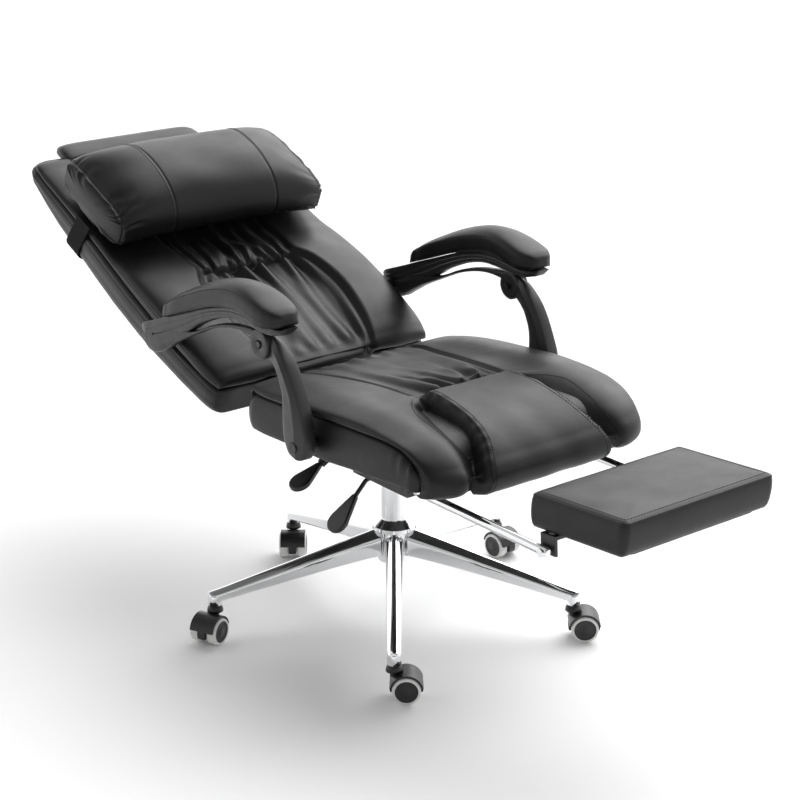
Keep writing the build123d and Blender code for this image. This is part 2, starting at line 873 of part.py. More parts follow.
def make_arm(hand, side):
    """One arm: upright, pivot pin, arched armrest frame and padded top."""
    # Front and rear edges of the upright, from the disc down to its foot
    front_edge = [(-40, 604), (-72, 574), (-106, 518), (-124, 462), (-122, 418)]
    rear_edge = [(-70, 428), (-66, 470), (-63, 520), (-46, 556), (-20, 571)]
    # Underside of the pad, from the rear of the armrest to its tip
    pad_seat = [(292, 569), (197, 605), (110, 634), (20, 648), (-36, 637), (-80, 637)]
    plate_top = [(y, z - rail_depth / 2) for y, z in pad_seat]
    rail_under = [(y, z - rail_depth) for y, z in pad_seat]

    with BuildPart() as upright:
        with BuildSketch(Plane.YZ.offset(side * upright_inner)):
            with BuildLine():
                Spline(*front_edge)
                ThreePointArc(front_edge[-1], (seat_pivot_y + 6, 409), rear_edge[0])
                Spline(*rear_edge)
                Polyline(rear_edge[-1], (disc_y, disc_z), front_edge[0])
            make_face()
            with Locations((disc_y, disc_z)):
                Circle(disc_radius)
        extrude(amount=side * (upright_outer - upright_inner))
        with BuildSketch(Plane.YZ.offset(side * (frame_inner - side_gap))):
            with Locations((disc_y, disc_z)):
                Circle(disc_radius + side_gap)
        extrude(amount=side * (frame_outer - frame_inner + 2 * side_gap), mode=Mode.SUBTRACT)
        with BuildSketch(Plane.YZ.offset(side * upright_inner)):
            with Locations((seat_pivot_y, seat_pivot_z)):
                Circle(arm_pin_radius + running)
            with Locations((disc_y, disc_z)):
                Circle(arm_pin_radius)
        extrude(amount=side * upright_outer, mode=Mode.SUBTRACT)
    save(upright, f"arm_upright_{hand}")

    with BuildPart() as pin:
        with BuildSketch(Plane.YZ.offset(side * upright_inner)):
            with Locations((disc_y, disc_z)):
                Circle(arm_pin_radius)
        extrude(amount=side * (upright_outer - upright_inner))
    save(pin, f"arm_pivot_{hand}")

    with BuildPart() as frame:
        with BuildSketch(Plane.YZ.offset(side * frame_inner)):
            with BuildLine():
                Spline(*plate_top)
                Line(plate_top[-1], (-74, 627))
                Spline((-74, 627), (-52, 621), (-30, 614))
                Line((-30, 614), (disc_y, disc_z))
                Line((disc_y, disc_z), (22, 600))
                Spline((22, 600), (105, 595), (200, 557), (300, 505))
                ThreePointArc((300, 505), (352, 487), (388, 518))
                Line((388, 518), (383, 534))
                Line((383, 534), plate_top[0])
            make_face()
            with Locations((disc_y, disc_z)):
                Circle(knuckle_radius)
            with BuildLine():
                ThreePointArc((193, 567), (110, 611), (24, 620))
                Line((24, 620), (24, 611))
                ThreePointArc((24, 611), (105, 603), (190, 564))
                Line((190, 564), (193, 567))
            make_face(mode=Mode.SUBTRACT)
            with Locations((disc_y, disc_z)):
                Circle(arm_pin_radius + running, mode=Mode.SUBTRACT)
            with Locations((rear_pivot_y, rear_pivot_z)):
                Circle(rear_pin_radius + rear_play, mode=Mode.SUBTRACT)
        extrude(amount=side * (frame_outer - frame_inner))
        with BuildSketch(Plane.YZ.offset(side * rail_inner)):
            with BuildLine():
                Spline(*pad_seat)
                Line(pad_seat[-1], rail_under[-1])
                Spline(*rail_under)
                Line(rail_under[0], pad_seat[0])
            make_face()
        extrude(amount=side * (rail_outer - rail_inner))
    save(frame, f"armrest_frame_{hand}")

    # y, underside, top, half width of the pad
    pad_stations = [
        (292, 573, 588, 20.0),
        (270, 579, 602, 28.0),
        (240, 590, 620, 29.5),
        (197, 606.5, 640, 31.0),
        (155, 622, 656, 32.5),
        (110, 635, 670, 34.0),
        (20, 649, 683, 37.0),
        (-36, 638.5, 669, 38.0),
        (-64, 638, 662, 34.0),
        (-80, 640, 656, 20.0),
    ]
    with BuildPart() as pad:
        for y, low, high, half in pad_stations:
            base = low + 2 * seat_gap
            with BuildSketch(Plane(origin=(side * pad_centre, y, 0), x_dir=(1, 0, 0), z_dir=(0, -1, 0))):
                with BuildLine():
                    pad_section(half, base, base + (high - base) * 0.75, high)
                make_face()
        loft()
    save(pad, f"armrest_pad_{hand}")


make_arm("left", 1)
make_arm("right", -1)

# Bolts that hold the uprights to the seat, with a shoulder between the two
with BuildPart() as arm_seat_bolts:
    for side in (1, -1):
        for start, stop, radius in (
            (seat_half - 30, seat_half + 1, arm_pin_radius),
            (seat_half + 1, upright_inner - seat_gap, arm_head_radius),
            (upright_inner - seat_gap, upright_outer + seat_gap, arm_pin_radius),
            (upright_outer + seat_gap, upright_outer + seat_gap + arm_head, arm_head_radius),
        ):
            with BuildSketch(Plane.YZ.offset(side * start)):
                with Locations((seat_pivot_y, seat_pivot_z)):
                    Circle(radius)
            extrude(amount=side * (stop - start))
save(arm_seat_bolts, "arm_seat_bolts")

# Bolts that hold the armrests to the back, each with a block on the back board and a sleeve
with BuildPart() as arm_rear_bolts:
    sleeve_start = back_stations[2][1] + 4.0
    for side in (1, -1):
        with BuildSketch(back_face(0)):
            with Locations((side * (rear_block_x + rear_block / 2), rear_u)):
                Rectangle(rear_block, rear_block)
        extrude(amount=rear_n + 2 * rear_pin_radius)
        for start, stop, radius in (
            (rear_block_x + rear_block / 2, sleeve_start, rear_pin_radius),
            (sleeve_start, frame_inner - side_gap, rear_sleeve_radius),
            (frame_inner - side_gap, frame_outer + side_gap, rear_pin_radius),
            (frame_outer + side_gap, frame_outer + side_gap + arm_head, rear_head_radius),
        ):
            with BuildSketch(Plane.YZ.offset(side * start)):
                with Locations((rear_pivot_y, rear_pivot_z)):
                    Circle(radius)
            extrude(amount=side * (stop - start))
save(arm_rear_bolts, "arm_rear_bolts")

# Footrest rods, cross-drilled for the pivot screws
with BuildPart() as footrest_rods:
    with BuildSketch(cross_plane(rod_rear)):
        with Locations((-rod_x, rod_z), (rod_x, rod_z)):
            Circle(rod_radius)
    extrude(amount=rod_rear - rod_front)
    fillet(footrest_rods.edges().group_by(Axis.Y)[0], radius=rod_radius * 0.4)
    with BuildSketch(Plane.YZ):
        with Locations((flip_y, rod_z)):
            Circle(flip_pin_radius)
    extrude(amount=2 * rod_x, both=True, mode=Mode.SUBTRACT)
save(footrest_rods, "footrest_rods")

# Footrest pivot screws
tab_outer = rod_x - rod_radius - side_gap
with BuildPart() as footrest_pivots:
    for side in (1, -1):
        for start, stop, radius in (
            (tab_outer - tab_thickness - side_gap - flip_head, tab_outer - tab_thickness - side_gap, flip_head_radius),
            (tab_outer - tab_thickness - side_gap, rod_x + rod_radius, flip_pin_radius),
            (rod_x + rod_radius, rod_x + rod_radius + flip_head, flip_head_radius),
        ):
            with BuildSketch(Plane.YZ.offset(side * start)):
                with Locations((flip_y, rod_z)):
                    Circle(radius)
            extrude(amount=side * (stop - start))
save(footrest_pivots, "footrest_pivots")

# The footrest pad's own planes: local y runs to the rear and local z up out of the pad
tilt = radians(foot_tilt)
foot_up = Vector(0, sin(tilt), cos(tilt))
foot_back = Vector(0, cos(tilt), -sin(tilt))
flip_point = Vector(0, flip_y, rod_z)
foot_level = Plane(origin=flip_point, x_dir=(1, 0, 0), z_dir=foot_up)

# Footrest bracket: two pivot tabs and two cross bars
with BuildPart() as footrest_bracket:
    for side in (1, -1):
        tab_plane = Plane(
            origin=flip_point + Vector(side * tab_outer, 0, 0), x_dir=foot_back, z_dir=(1, 0, 0)
        )
        with BuildSketch(tab_plane):
            with Locations(((tab_rear - tab_front) / 2, (foot_lift - tab_drop) / 2)):
                Rectangle(tab_rear + tab_front, foot_lift + tab_drop)
            Circle(flip_pin_radius + running, mode=Mode.SUBTRACT)
        extrude(amount=-side * tab_thickness)
    with BuildSketch(foot_level.offset(foot_lift - bar_thickness)):
        with Locations((0, tab_rear - bar_width / 2), (0, bar_width / 2 - tab_front)):
            Rectangle(2 * tab_outer, bar_width)
    extrude(amount=bar_thickness)
save(footrest_bracket, "footrest_bracket")

# Footrest board on the bracket
with BuildPart() as footrest_board:
    with BuildSketch(foot_level.offset(foot_lift)):
        with Locations((0, foot_rear - foot_length / 2)):
            RectangleRounded(
                foot_width - 2 * foot_board_margin, foot_length - 2 * foot_board_margin, foot_board_margin
            )
    extrude(amount=foot_board)
save(footrest_board, "footrest_board")

# Footrest cushion: crowned, with drawn-in sides and rounded ends
# place along the pad as a share, draw-in of the section
foot_stations = [(0.0, 14.0), (0.05, 3.0), (0.5, 0.0), (0.95, 3.0), (1.0, 14.0)]
with BuildPart() as footrest_cushion:
    for share, draw in foot_stations:
        station = flip_point + foot_back * (foot_rear - share * foot_length)
        base = foot_lift + foot_board
        top = foot_lift + foot_thickness - draw * 0.5
        with BuildSketch(Plane(origin=station, x_dir=(1, 0, 0), z_dir=foot_back * -1)):
            with BuildLine():
                pad_section(foot_width / 2 - draw, base, top - 4, top + 3)
            make_face()
    loft()
save(footrest_cushion, "footrest_cushion")


def make_lever(name, y, bend, tip, paddle):
    """One lever: bent rod with an eye on its pivot pin, and a spoon-shaped paddle."""
    fall = Vector(tip[0] - bend[0], 0, tip[1] - bend[1])
    along = fall.normalized()
    paddle_start = Vector(tip[0], y, tip[1]) - along * paddle
    with BuildPart() as rod:
        with BuildLine():
            run = FilletPolyline(
                (lever_pivot_x - lever_eye_radius / 2, y, lever_pivot_z),
                (bend[0], y, bend[1]),
                tuple(paddle_start + along * (paddle_neck / 2)),
                radius=3 * lever_radius,
            )
        with BuildSketch(Plane(origin=run @ 0, z_dir=run % 0)):
            Circle(lever_radius)
        sweep()
        with BuildSketch(cross_plane(y)):
            with Locations((lever_pivot_x, lever_pivot_z)):
                Circle(lever_eye_radius)
        extrude(amount=lever_eye_width / 2, both=True)
        with BuildSketch(cross_plane(y)):
            with Locations((lever_pivot_x, lever_pivot_z)):
                Circle(lever_pin_radius + running)
        extrude(amount=lever_eye_width, both=True, mode=Mode.SUBTRACT)
    save(rod, f"{name}_lever_rod")

    flat = Plane(origin=paddle_start, x_dir=along, z_dir=Vector(0, 1, 0).cross(along) * -1)
    with BuildPart() as spoon:
        with BuildSketch(flat):
            with Locations((paddle_neck / 2, 0)):
                Circle(paddle_neck / 2)
            with Locations((paddle - paddle_width / 2, 0)):
                Circle(paddle_width / 2)
            make_hull()
        extrude(amount=paddle_thickness / 2, both=True)
        rims = spoon.edges().filter_by(lambda edge: abs((edge @ 0.5 - flat.origin).dot(flat.z_dir)) > seat_gap)
        fillet(rims, radius=paddle_thickness * 0.3)
        with BuildSketch(Plane(origin=paddle_start, x_dir=(0, 1, 0), z_dir=along)):
            Circle(lever_radius)
        extrude(amount=paddle_neck / 2, mode=Mode.SUBTRACT)
    save(spoon, f"{name}_lever_paddle")


for lever_name, lever in levers.items():
    make_lever(lever_name, **lever)

# Ribbed rubber boot on the recline lever, behind its paddle
with BuildPart() as lever_boot:
    boot_lever = levers["recline"]
    boot_along = Vector(
        boot_lever["tip"][0] - boot_lever["bend"][0], 0, boot_lever["tip"][1] - boot_lever["bend"][1]
    ).normalized()
    boot_end = Vector(boot_lever["tip"][0], boot_lever["y"], boot_lever["tip"][1]) - boot_along * boot_lever["paddle"]
    rib = boot_length / boot_ribs
    for number in range(boot_ribs):
        rib_start = boot_end - boot_along * (rib * (number + 1))
        with BuildSketch(Plane(origin=rib_start, z_dir=boot_along)):
            Circle(boot_radius)
        extrude(amount=rib / 2)
    with BuildSketch(Plane(origin=boot_end, z_dir=boot_along)):
        Circle(boot_groove)
    extrude(amount=-boot_length)
    with BuildSketch(Plane(origin=boot_end, z_dir=boot_along)):
        Circle(lever_radius)
    extrude(amount=-boot_length, mode=Mode.SUBTRACT)
save(lever_boot, "lever_boot")
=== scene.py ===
import json
from math import cos, pi, radians, sin

import bmesh
import bpy
import numpy as np
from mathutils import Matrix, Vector


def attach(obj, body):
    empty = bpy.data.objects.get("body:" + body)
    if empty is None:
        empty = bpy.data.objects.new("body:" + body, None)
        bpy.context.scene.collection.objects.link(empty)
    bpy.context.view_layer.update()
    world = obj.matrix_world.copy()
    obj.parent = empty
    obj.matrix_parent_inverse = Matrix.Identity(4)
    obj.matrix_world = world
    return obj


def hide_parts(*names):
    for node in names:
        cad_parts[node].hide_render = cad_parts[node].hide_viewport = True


# Executive recliner chair with a pull-out footrest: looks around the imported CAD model.
# Shapes are written in millimetres in the CAD frame and turned into metres when a mesh is made.

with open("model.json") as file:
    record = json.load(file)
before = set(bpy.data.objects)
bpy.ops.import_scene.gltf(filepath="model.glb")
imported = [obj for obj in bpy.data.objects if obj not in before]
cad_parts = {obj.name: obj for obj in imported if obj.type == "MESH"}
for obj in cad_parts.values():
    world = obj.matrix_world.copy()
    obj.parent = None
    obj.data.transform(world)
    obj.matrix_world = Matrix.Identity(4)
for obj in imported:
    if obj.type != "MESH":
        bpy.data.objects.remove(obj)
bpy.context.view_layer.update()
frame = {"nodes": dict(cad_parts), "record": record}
nodes = frame["nodes"]
scene = bpy.context.scene
scene.view_settings.view_transform = "Standard"
MM = 0.001

# Sizes shared with the CAD model, in millimetres and degrees
back_rise = 24.0
back_foot_y, back_foot_z = 209.0, 436.0
arm_plane, pad_plane, upright_plane = 284.0, 286.0, 280.0
disc_y, disc_z = -3.0, 591.0
caster_circle = 344.0
first_leg, leg_pitch = -38.3, 72.0
foot_rear_y, foot_top_z, foot_rise = -552.0, 464.0, 4.15

# Camera at the photograph's viewing angle
camera_azimuth = radians(-38.455)
camera_elevation = radians(19.704)
camera_distance = 3.666
camera_target = Vector((0.00846, -0.00672, 0.4238))
camera_data = bpy.data.cameras.new("camera")
camera_data.lens = 90.82
camera_data.sensor_width = 36.0
camera = bpy.data.objects.new("camera", camera_data)
scene.collection.objects.link(camera)
camera_back = Vector((
    sin(camera_azimuth) * cos(camera_elevation),
    -cos(camera_azimuth) * cos(camera_elevation),
    sin(camera_elevation),
))
camera.location = camera_target + camera_back * camera_distance
camera.rotation_mode = "QUATERNION"
camera.rotation_quaternion = (-camera_back).to_track_quat("-Z", "Y")
scene.camera = camera


# Materials

def start_material(name):
    made = bpy.data.materials.new(name)
    made.use_nodes = True
    tree = made.node_tree
    place = tree.nodes.new("ShaderNodeTexCoord")
    return made, tree, tree.nodes["Principled BSDF"], place.outputs["Object"]


def add_noise(tree, place, scale, detail=4.0):
    node = tree.nodes.new("ShaderNodeTexNoise")
    node.inputs["Scale"].default_value = scale
    node.inputs["Detail"].default_value = detail
    node.inputs["Roughness"].default_value = 0.55
    tree.links.new(place, node.inputs["Vector"])
    return node.outputs["Fac"]


def add_range(tree, value, low, high, start=0.3, stop=0.7):
    node = tree.nodes.new("ShaderNodeMapRange")
    node.inputs["From Min"].default_value = start
    node.inputs["From Max"].default_value = stop
    node.inputs["To Min"].default_value = low
    node.inputs["To Max"].default_value = high
    tree.links.new(value, node.inputs["Value"])
    return node.outputs["Result"]


def add_bump(tree, height, distance, strength, below=None):
    node = tree.nodes.new("ShaderNodeBump")
    node.inputs["Distance"].default_value = distance
    node.inputs["Strength"].default_value = strength
    tree.links.new(height, node.inputs["Height"])
    if below is not None:
        tree.links.new(below, node.inputs["Normal"])
    return node.outputs["Normal"]


def add_tint(tree, shader, amount, dark, light):
    node = tree.nodes.new("ShaderNodeMix")
    node.data_type = "RGBA"
    node.inputs["A"].default_value = (*dark, 1.0)
    node.inputs["B"].default_value = (*light, 1.0)
    tree.links.new(amount, node.inputs["Factor"])
    tree.links.new(node.outputs["Result"], shader.inputs["Base Color"])


def make_leather(name, dark, light, smooth, rough):
    """PU leather: pebbled grain, soft unevenness and a roughness that wanders."""
    made, tree, shader, place = start_material(name)
    add_tint(tree, shader, add_range(tree, add_noise(tree, place, 14.0), 0.0, 1.0), dark, light)
    wander = add_range(tree, add_noise(tree, place, 22.0, 3.0), smooth, rough)
    tree.links.new(wander, shader.inputs["Roughness"])
    grain = tree.nodes.new("ShaderNodeTexVoronoi")
    grain.feature = "DISTANCE_TO_EDGE"
    grain.inputs["Scale"].default_value = 620.0
    grain.inputs["Randomness"].default_value = 1.0
    tree.links.new(place, grain.inputs["Vector"])
    pebble = add_range(tree, grain.outputs["Distance"], 0.0, 1.0, 0.0, 0.28)
    normal = add_bump(tree, pebble, 0.00022, 0.35)
    normal = add_bump(tree, add_noise(tree, place, 1900.0, 2.0), 0.00012, 0.25, normal)
    normal = add_bump(tree, add_noise(tree, place, 70.0, 3.0), 0.0012, 0.18, normal)
    tree.links.new(normal, shader.inputs["Normal"])
    shader.inputs["Specular IOR Level"].default_value = 0.3
    return made


def make_plastic(name, dark, light, smooth, rough, grain=1500.0, depth=0.00012):
    """Moulded plastic: fine spark texture and slight flow marks."""
    made, tree, shader, place = start_material(name)
    add_tint(tree, shader, add_range(tree, add_noise(tree, place, 35.0), 0.0, 1.0), dark, light)
    wander = add_range(tree, add_noise(tree, place, 60.0), smooth, rough)
    tree.links.new(wander, shader.inputs["Roughness"])
    normal = add_bump(tree, add_noise(tree, place, grain, 2.0), depth, 0.5)
    tree.links.new(normal, shader.inputs["Normal"])
    return made


def make_metal(name, dark, light, smooth, rough):
    """Plated or drawn metal with faint cloudiness."""
    made, tree, shader, place = start_material(name)
    add_tint(tree, shader, add_range(tree, add_noise(tree, place, 18.0), 0.0, 1.0), dark, light)
    wander = add_range(tree, add_noise(tree, place, 40.0, 5.0), smooth, rough)
    tree.links.new(wander, shader.inputs["Roughness"])
    shader.inputs["Metallic"].default_value = 1.0
    return made


def make_weave(name, dark, light, pitch):
    """Elastic webbing: ribs along the band and a fine cross weave."""
    made, tree, shader, place = start_material(name)
    add_tint(tree, shader, add_range(tree, add_noise(tree, place, 420.0), 0.0, 1.0), dark, light)
    wave = tree.nodes.new("ShaderNodeTexWave")
    wave.bands_direction = "Y"
    wave.inputs["Scale"].default_value = pitch
    wave.inputs["Distortion"].default_value = 0.4
    tree.links.new(place, wave.inputs["Vector"])
    normal = add_bump(tree, wave.outputs["Fac"], 0.0004, 0.6)
    tree.links.new(normal, shader.inputs["Normal"])
    shader.inputs["Roughness"].default_value = 0.85
    shader.inputs["Specular IOR Level"].default_value = 0.15
    return made


leather = make_leather("leather", (0.005, 0.005, 0.0052), (0.008, 0.008, 0.0083), 0.35, 0.43)
thread = make_plastic("thread", (0.004, 0.004, 0.004), (0.012, 0.012, 0.012), 0.6, 0.75, 2600.0, 0.0002)
arm_plastic = make_plastic("arm_plastic", (0.012, 0.012, 0.0125), (0.018, 0.018, 0.0185), 0.36, 0.48)
black_plastic = make_plastic("black_plastic", (0.008, 0.008, 0.0085), (0.013, 0.013, 0.0135), 0.28, 0.4)
tyre_rubber = make_plastic("tyre_rubber", (0.66, 0.66, 0.65), (0.74, 0.74, 0.72), 0.42, 0.55)
boot_rubber = make_plastic("boot_rubber", (0.012, 0.012, 0.012), (0.02, 0.02, 0.02), 0.5, 0.65)
chrome = make_metal("chrome", (0.82, 0.83, 0.84), (0.88, 0.88, 0.89), 0.05, 0.10)
steel = make_metal("steel", (0.45, 0.45, 0.46), (0.55, 0.55, 0.56), 0.25, 0.38)
black_steel = make_plastic("black_steel", (0.010, 0.010, 0.0105), (0.016, 0.016, 0.0165), 0.35, 0.5, 900.0, 0.00025)
board_cover = make_plastic("board_cover", (0.010, 0.010, 0.010), (0.018, 0.018, 0.018), 0.7, 0.85, 700.0, 0.0003)
elastic = make_weave("elastic", (0.004, 0.004, 0.004), (0.009, 0.009, 0.009), 160.0)


# Shape helpers

def track(at, stops):
    """Smooth values at the given places, through stops of (place, value)."""
    x, y = np.asarray(stops, float).T
    slope = np.gradient(y, x)
    at = np.asarray(at, float)
    k = np.clip(np.searchsorted(x, at, side="right") - 1, 0, len(x) - 2)
    span = x[k + 1] - x[k]
    w = np.clip((at - x[k]) / span, 0.0, 1.0)
    return (
        (2 * w**3 - 3 * w**2 + 1) * y[k]
        + (w**3 - 2 * w**2 + w) * span * slope[k]
        + (3 * w**2 - 2 * w**3) * y[k + 1]
        + (w**3 - w**2) * span * slope[k + 1]
    )


def run_along(points):
    """Length of a line from its first point to each of its points."""
    return np.concatenate([[0.0], np.cumsum(np.linalg.norm(np.diff(points, axis=0), axis=1))])


def full_turn(count):
    return np.linspace(0, 2 * pi, count, endpoint=False)


def curve(points, count):
    """Points evenly spread on a smooth curve; its length is taken from the first two columns."""
    p = np.asarray(points, float)
    run = run_along(p[:, :2])
    at = np.linspace(0.0, run[-1], count)
    return np.stack([track(at, np.stack([run, p[:, i]], 1)) for i in range(p.shape[1])], 1)


def step(value):
    """Smooth step from 0 to 1."""
    w = np.clip(value, 0.0, 1.0)
    return w * w * (3 - 2 * w)


def dent(distance, width):
    return np.exp(-((distance / width) ** 2))


def swell(points, size, seed):
    """Slow unevenness of stuffed leather at the given points."""
    rng = np.random.RandomState(seed)
    out = np.zeros(points.shape[:-1])
    for _ in range(7):
        heading = rng.normal(size=3)
        heading /= np.linalg.norm(heading)
        length = rng.uniform(70.0, 190.0)
        out += np.sin(points @ heading * 2 * pi / length + rng.uniform(0, 2 * pi))
    return out * size / 3.0


def fold_rows(seed, count, low, high, lengths, depths, widths, drift):
    """Seeded rows for folds(): start, drift, length, depth, width and bend of each fold."""
    rng = np.random.RandomState(seed)
    rows = []
    for i in range(count):
        start = low + (high - low) * (i + 0.5 + rng.uniform(-0.42, 0.42)) / count
        rows.append((
            start,
            rng.uniform(-drift, drift),
            rng.uniform(*lengths),
            rng.uniform(*depths),
            rng.uniform(*widths),
            rng.uniform(-drift, drift) * 0.6,
        ))
    return rows


def folds(across, away, rows):
    """Height of folds that leave a gathered seam: across runs along the seam, away leaves it."""
    out = np.zeros_like(across)
    for start, drift, length, depth, width, bend in rows:
        t = away / length
        middle = start + drift * t + bend * np.sin(np.clip(t, 0, 1) * pi)
        d = (across - middle) / (width * (1 + 0.7 * np.clip(t, 0, 1)))
        fade = np.clip(1 - t, 0, 1) ** 1.3 * step(away / 4.0)
        out += depth * fade * (0.6 * dent(np.abs(d) - 1.7, 0.9) - np.exp(-d * d))
    return out


def skin(rings, closed=True):
    """Points and faces over a row of closed rings, with the two ends closed towards their middles."""
    rows = list(np.asarray(rings, float))
    if closed:
        caps = []
        for ring in (rows[0], rows[-1]):
            middle = ring.mean(0)
            caps.append([middle + (ring - middle) * k for k in (0.85, 0.6, 0.35, 0.12)])
        rows = caps[0][::-1] + rows + caps[1]
    count = len(rows[0])
    row = np.arange(len(rows) - 1)[:, None] * count
    column = np.arange(count)[None]
    after = (column + 1) % count
    faces = np.stack([row + column, row + after, row + count + after, row + count + column], -1)
    faces = faces.reshape(-1, 4).tolist()
    if closed:
        faces.append(list(range(count))[::-1])
        faces.append([(len(rows) - 1) * count + i for i in range(count)])
    return np.concatenate(rows), faces


def refined(rings, count):
    """More rings between the given ones."""
    given = np.arange(len(rings))
    fine = np.linspace(0, len(rings) - 1, count)
    columns = range(rings.shape[1])
    filled = [[np.interp(fine, given, rings[:, j, i]) for j in columns] for i in range(3)]
    return np.stack(filled, -1).transpose(1, 0, 2)


def add_piece(name, points, faces, finish, body, stands_for=()):
    mesh = bpy.data.meshes.new(name)
    mesh.from_pydata((np.asarray(points) * MM).tolist(), [], faces)
    work = bmesh.new()
    work.from_mesh(mesh)
    bmesh.ops.recalc_face_normals(work, faces=work.faces)
    work.to_mesh(mesh)
    work.free()
    mesh.polygons.foreach_set("use_smooth", np.full(len(mesh.polygons), True))
    mesh.materials.append(finish)
    piece = bpy.data.objects.new(name, mesh)
    scene.collection.objects.link(piece)
    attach(piece, body)
    if stands_for:
        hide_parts(*stands_for)
    return piece


def add_skin(name, rings, finish, body, stands_for=()):
    points, faces = skin(rings)
    return add_piece(name, points, faces, finish, body, stands_for)


def joined(parts):
    """One set of points and faces out of several."""
    points, faces, start = [], [], 0
    for p, f in parts:
        points.append(np.asarray(p))
        faces += [[i + start for i in face] for face in f]
        start += len(p)
    return np.concatenate(points), faces


def facing(grid):
    """Outward normals of a grid of points."""
    normal = np.cross(np.gradient(grid, axis=0), np.gradient(grid, axis=1))
    normal /= np.linalg.norm(normal, axis=-1, keepdims=True) + 1e-12
    outward = np.sum(normal * (grid - grid.mean((0, 1))))
    return normal if outward > 0 else -normal


def sample(grid, rows, columns):
    """Values of a grid between its points."""
    rows = np.clip(rows, 0, grid.shape[0] - 1.001)
    columns = np.clip(columns, 0, grid.shape[1] - 1.001)
    r, c = rows.astype(int), columns.astype(int)
    a, b = (rows - r)[:, None], (columns - c)[:, None]
    return (
        grid[r, c] * (1 - a) * (1 - b)
        + grid[r + 1, c] * a * (1 - b)
        + grid[r, c + 1] * (1 - a) * b
        + grid[r + 1, c + 1] * a * b
    )


def sew(line, normals, pitch=5.6, length=4.0, radius=0.7, lift=0.3):
    """Points and faces of the stitches along a line."""
    run = run_along(line)
    at = np.arange(pitch / 2, run[-1], pitch)
    pick = lambda values, where: np.stack([np.interp(where, run, values[:, i]) for i in range(3)], 1)
    middle, normal = pick(line, at), pick(normals, at)
    tangent = pick(line, at + 1.0) - pick(line, at - 1.0)
    tangent /= np.linalg.norm(tangent, axis=1, keepdims=True) + 1e-12
    side = np.cross(tangent, normal)
    side /= np.linalg.norm(side, axis=1, keepdims=True) + 1e-12
    normal = np.cross(side, tangent)
    points, faces, around = [], [], 6
    for along, wide, rise in ((-0.5, 0.45, -0.5), (-0.28, 1.0, 0.1), (0.28, 1.0, 0.1), (0.5, 0.45, -0.5)):
        for k in range(around):
            angle = 2 * pi * k / around
            points.append(
                middle
                + tangent * along * length
                + side * cos(angle) * wide * radius
                + normal * (sin(angle) * wide * radius + lift + rise * radius)
            )
    points = np.stack(points, 1)
    each = points.shape[1]
    ring = [
        [r * around + k, r * around + (k + 1) % around, (r + 1) * around + (k + 1) % around, (r + 1) * around + k]
        for r in range(3)
        for k in range(around)
    ]
    ring += [list(range(around))[::-1], [3 * around + k for k in range(around)]]
    for i in range(len(middle)):
        faces += [[i * each + v for v in face] for face in ring]
    return points.reshape(-1, 3), faces


def add_stitches(name, lines, body):
    points, faces = joined([sew(line, normals) for line, normals in lines])
    return add_piece(name, points, faces, thread, body)


def across_shares(count):
    """Places across a padded section from -1 to 1, close together at its rolled edges."""
    side = np.linspace(-1, 1, count)
    return np.sin(np.sign(side) * (1 - (1 - np.abs(side)) ** 1.3) * pi / 2)


def crown(share, power):
    """Height of a padded section: full in the middle and rolled down at its edges."""
    return np.clip(1 - np.abs(share) ** power, 0, 1) ** (1 / power)


def closed_under(upper, count):
    """Rings of a padded piece: its upper side, and that many points straight back underneath."""
    spread = np.linspace(1, 0, count + 2)[1:-1]
    lower = upper[:, -1:] * spread[None, :, None] + upper[:, :1] * (1 - spread)[None, :, None]
    return np.concatenate([upper, lower], 1)


def padded_rings(top, seam, half, power, relief, shares):
    """Rings of a padded piece in a side plane: its top line, its seam line, half widths and relief."""
    x = shares[None] * half[:, None]
    height = crown(shares[None], power[:, None])
    heading = np.gradient(top, axis=0)
    heading /= np.linalg.norm(heading, axis=1, keepdims=True)
    normal = np.stack([-heading[:, 1], heading[:, 0]], 1)
    normal *= np.where(np.sum(normal * (top - seam), axis=1, keepdims=True) < 0, -1.0, 1.0)
    plane = seam[:, None] + height[..., None] * (top - seam)[:, None] + relief[..., None] * normal[:, None]
    upper = np.concatenate([x[..., None], plane], -1)
    return upper, closed_under(upper, 14)


def to_back(points):
    """Points given as x, u up the back and n out of it, in the chair's frame."""
    x, u, n = points[..., 0], points[..., 1], points[..., 2]
    rise = radians(back_rise)
    y = back_foot_y + u * cos(rise) - n * sin(rise)
    return np.stack([x, y, back_foot_z + u * sin(rise) + n * cos(rise)], -1)


def lines_on(grid, normals, rows, columns):
    return sample(grid, rows, columns), sample(normals, rows, columns)


def column_line(grid, normals, column, first, last, count):
    """A line along one column of a grid."""
    return lines_on(grid, normals, np.linspace(first, last, count), np.full(count, float(column)))


# Places across the sections of the seat and the back
shares = across_shares(431)


def columns_at(x, rows, half):
    """Columns of a padded grid at which the given rows have the given x."""
    here = np.interp(rows, np.arange(len(half), dtype=float), half)
    return np.interp(x / here, shares, np.arange(len(shares)))


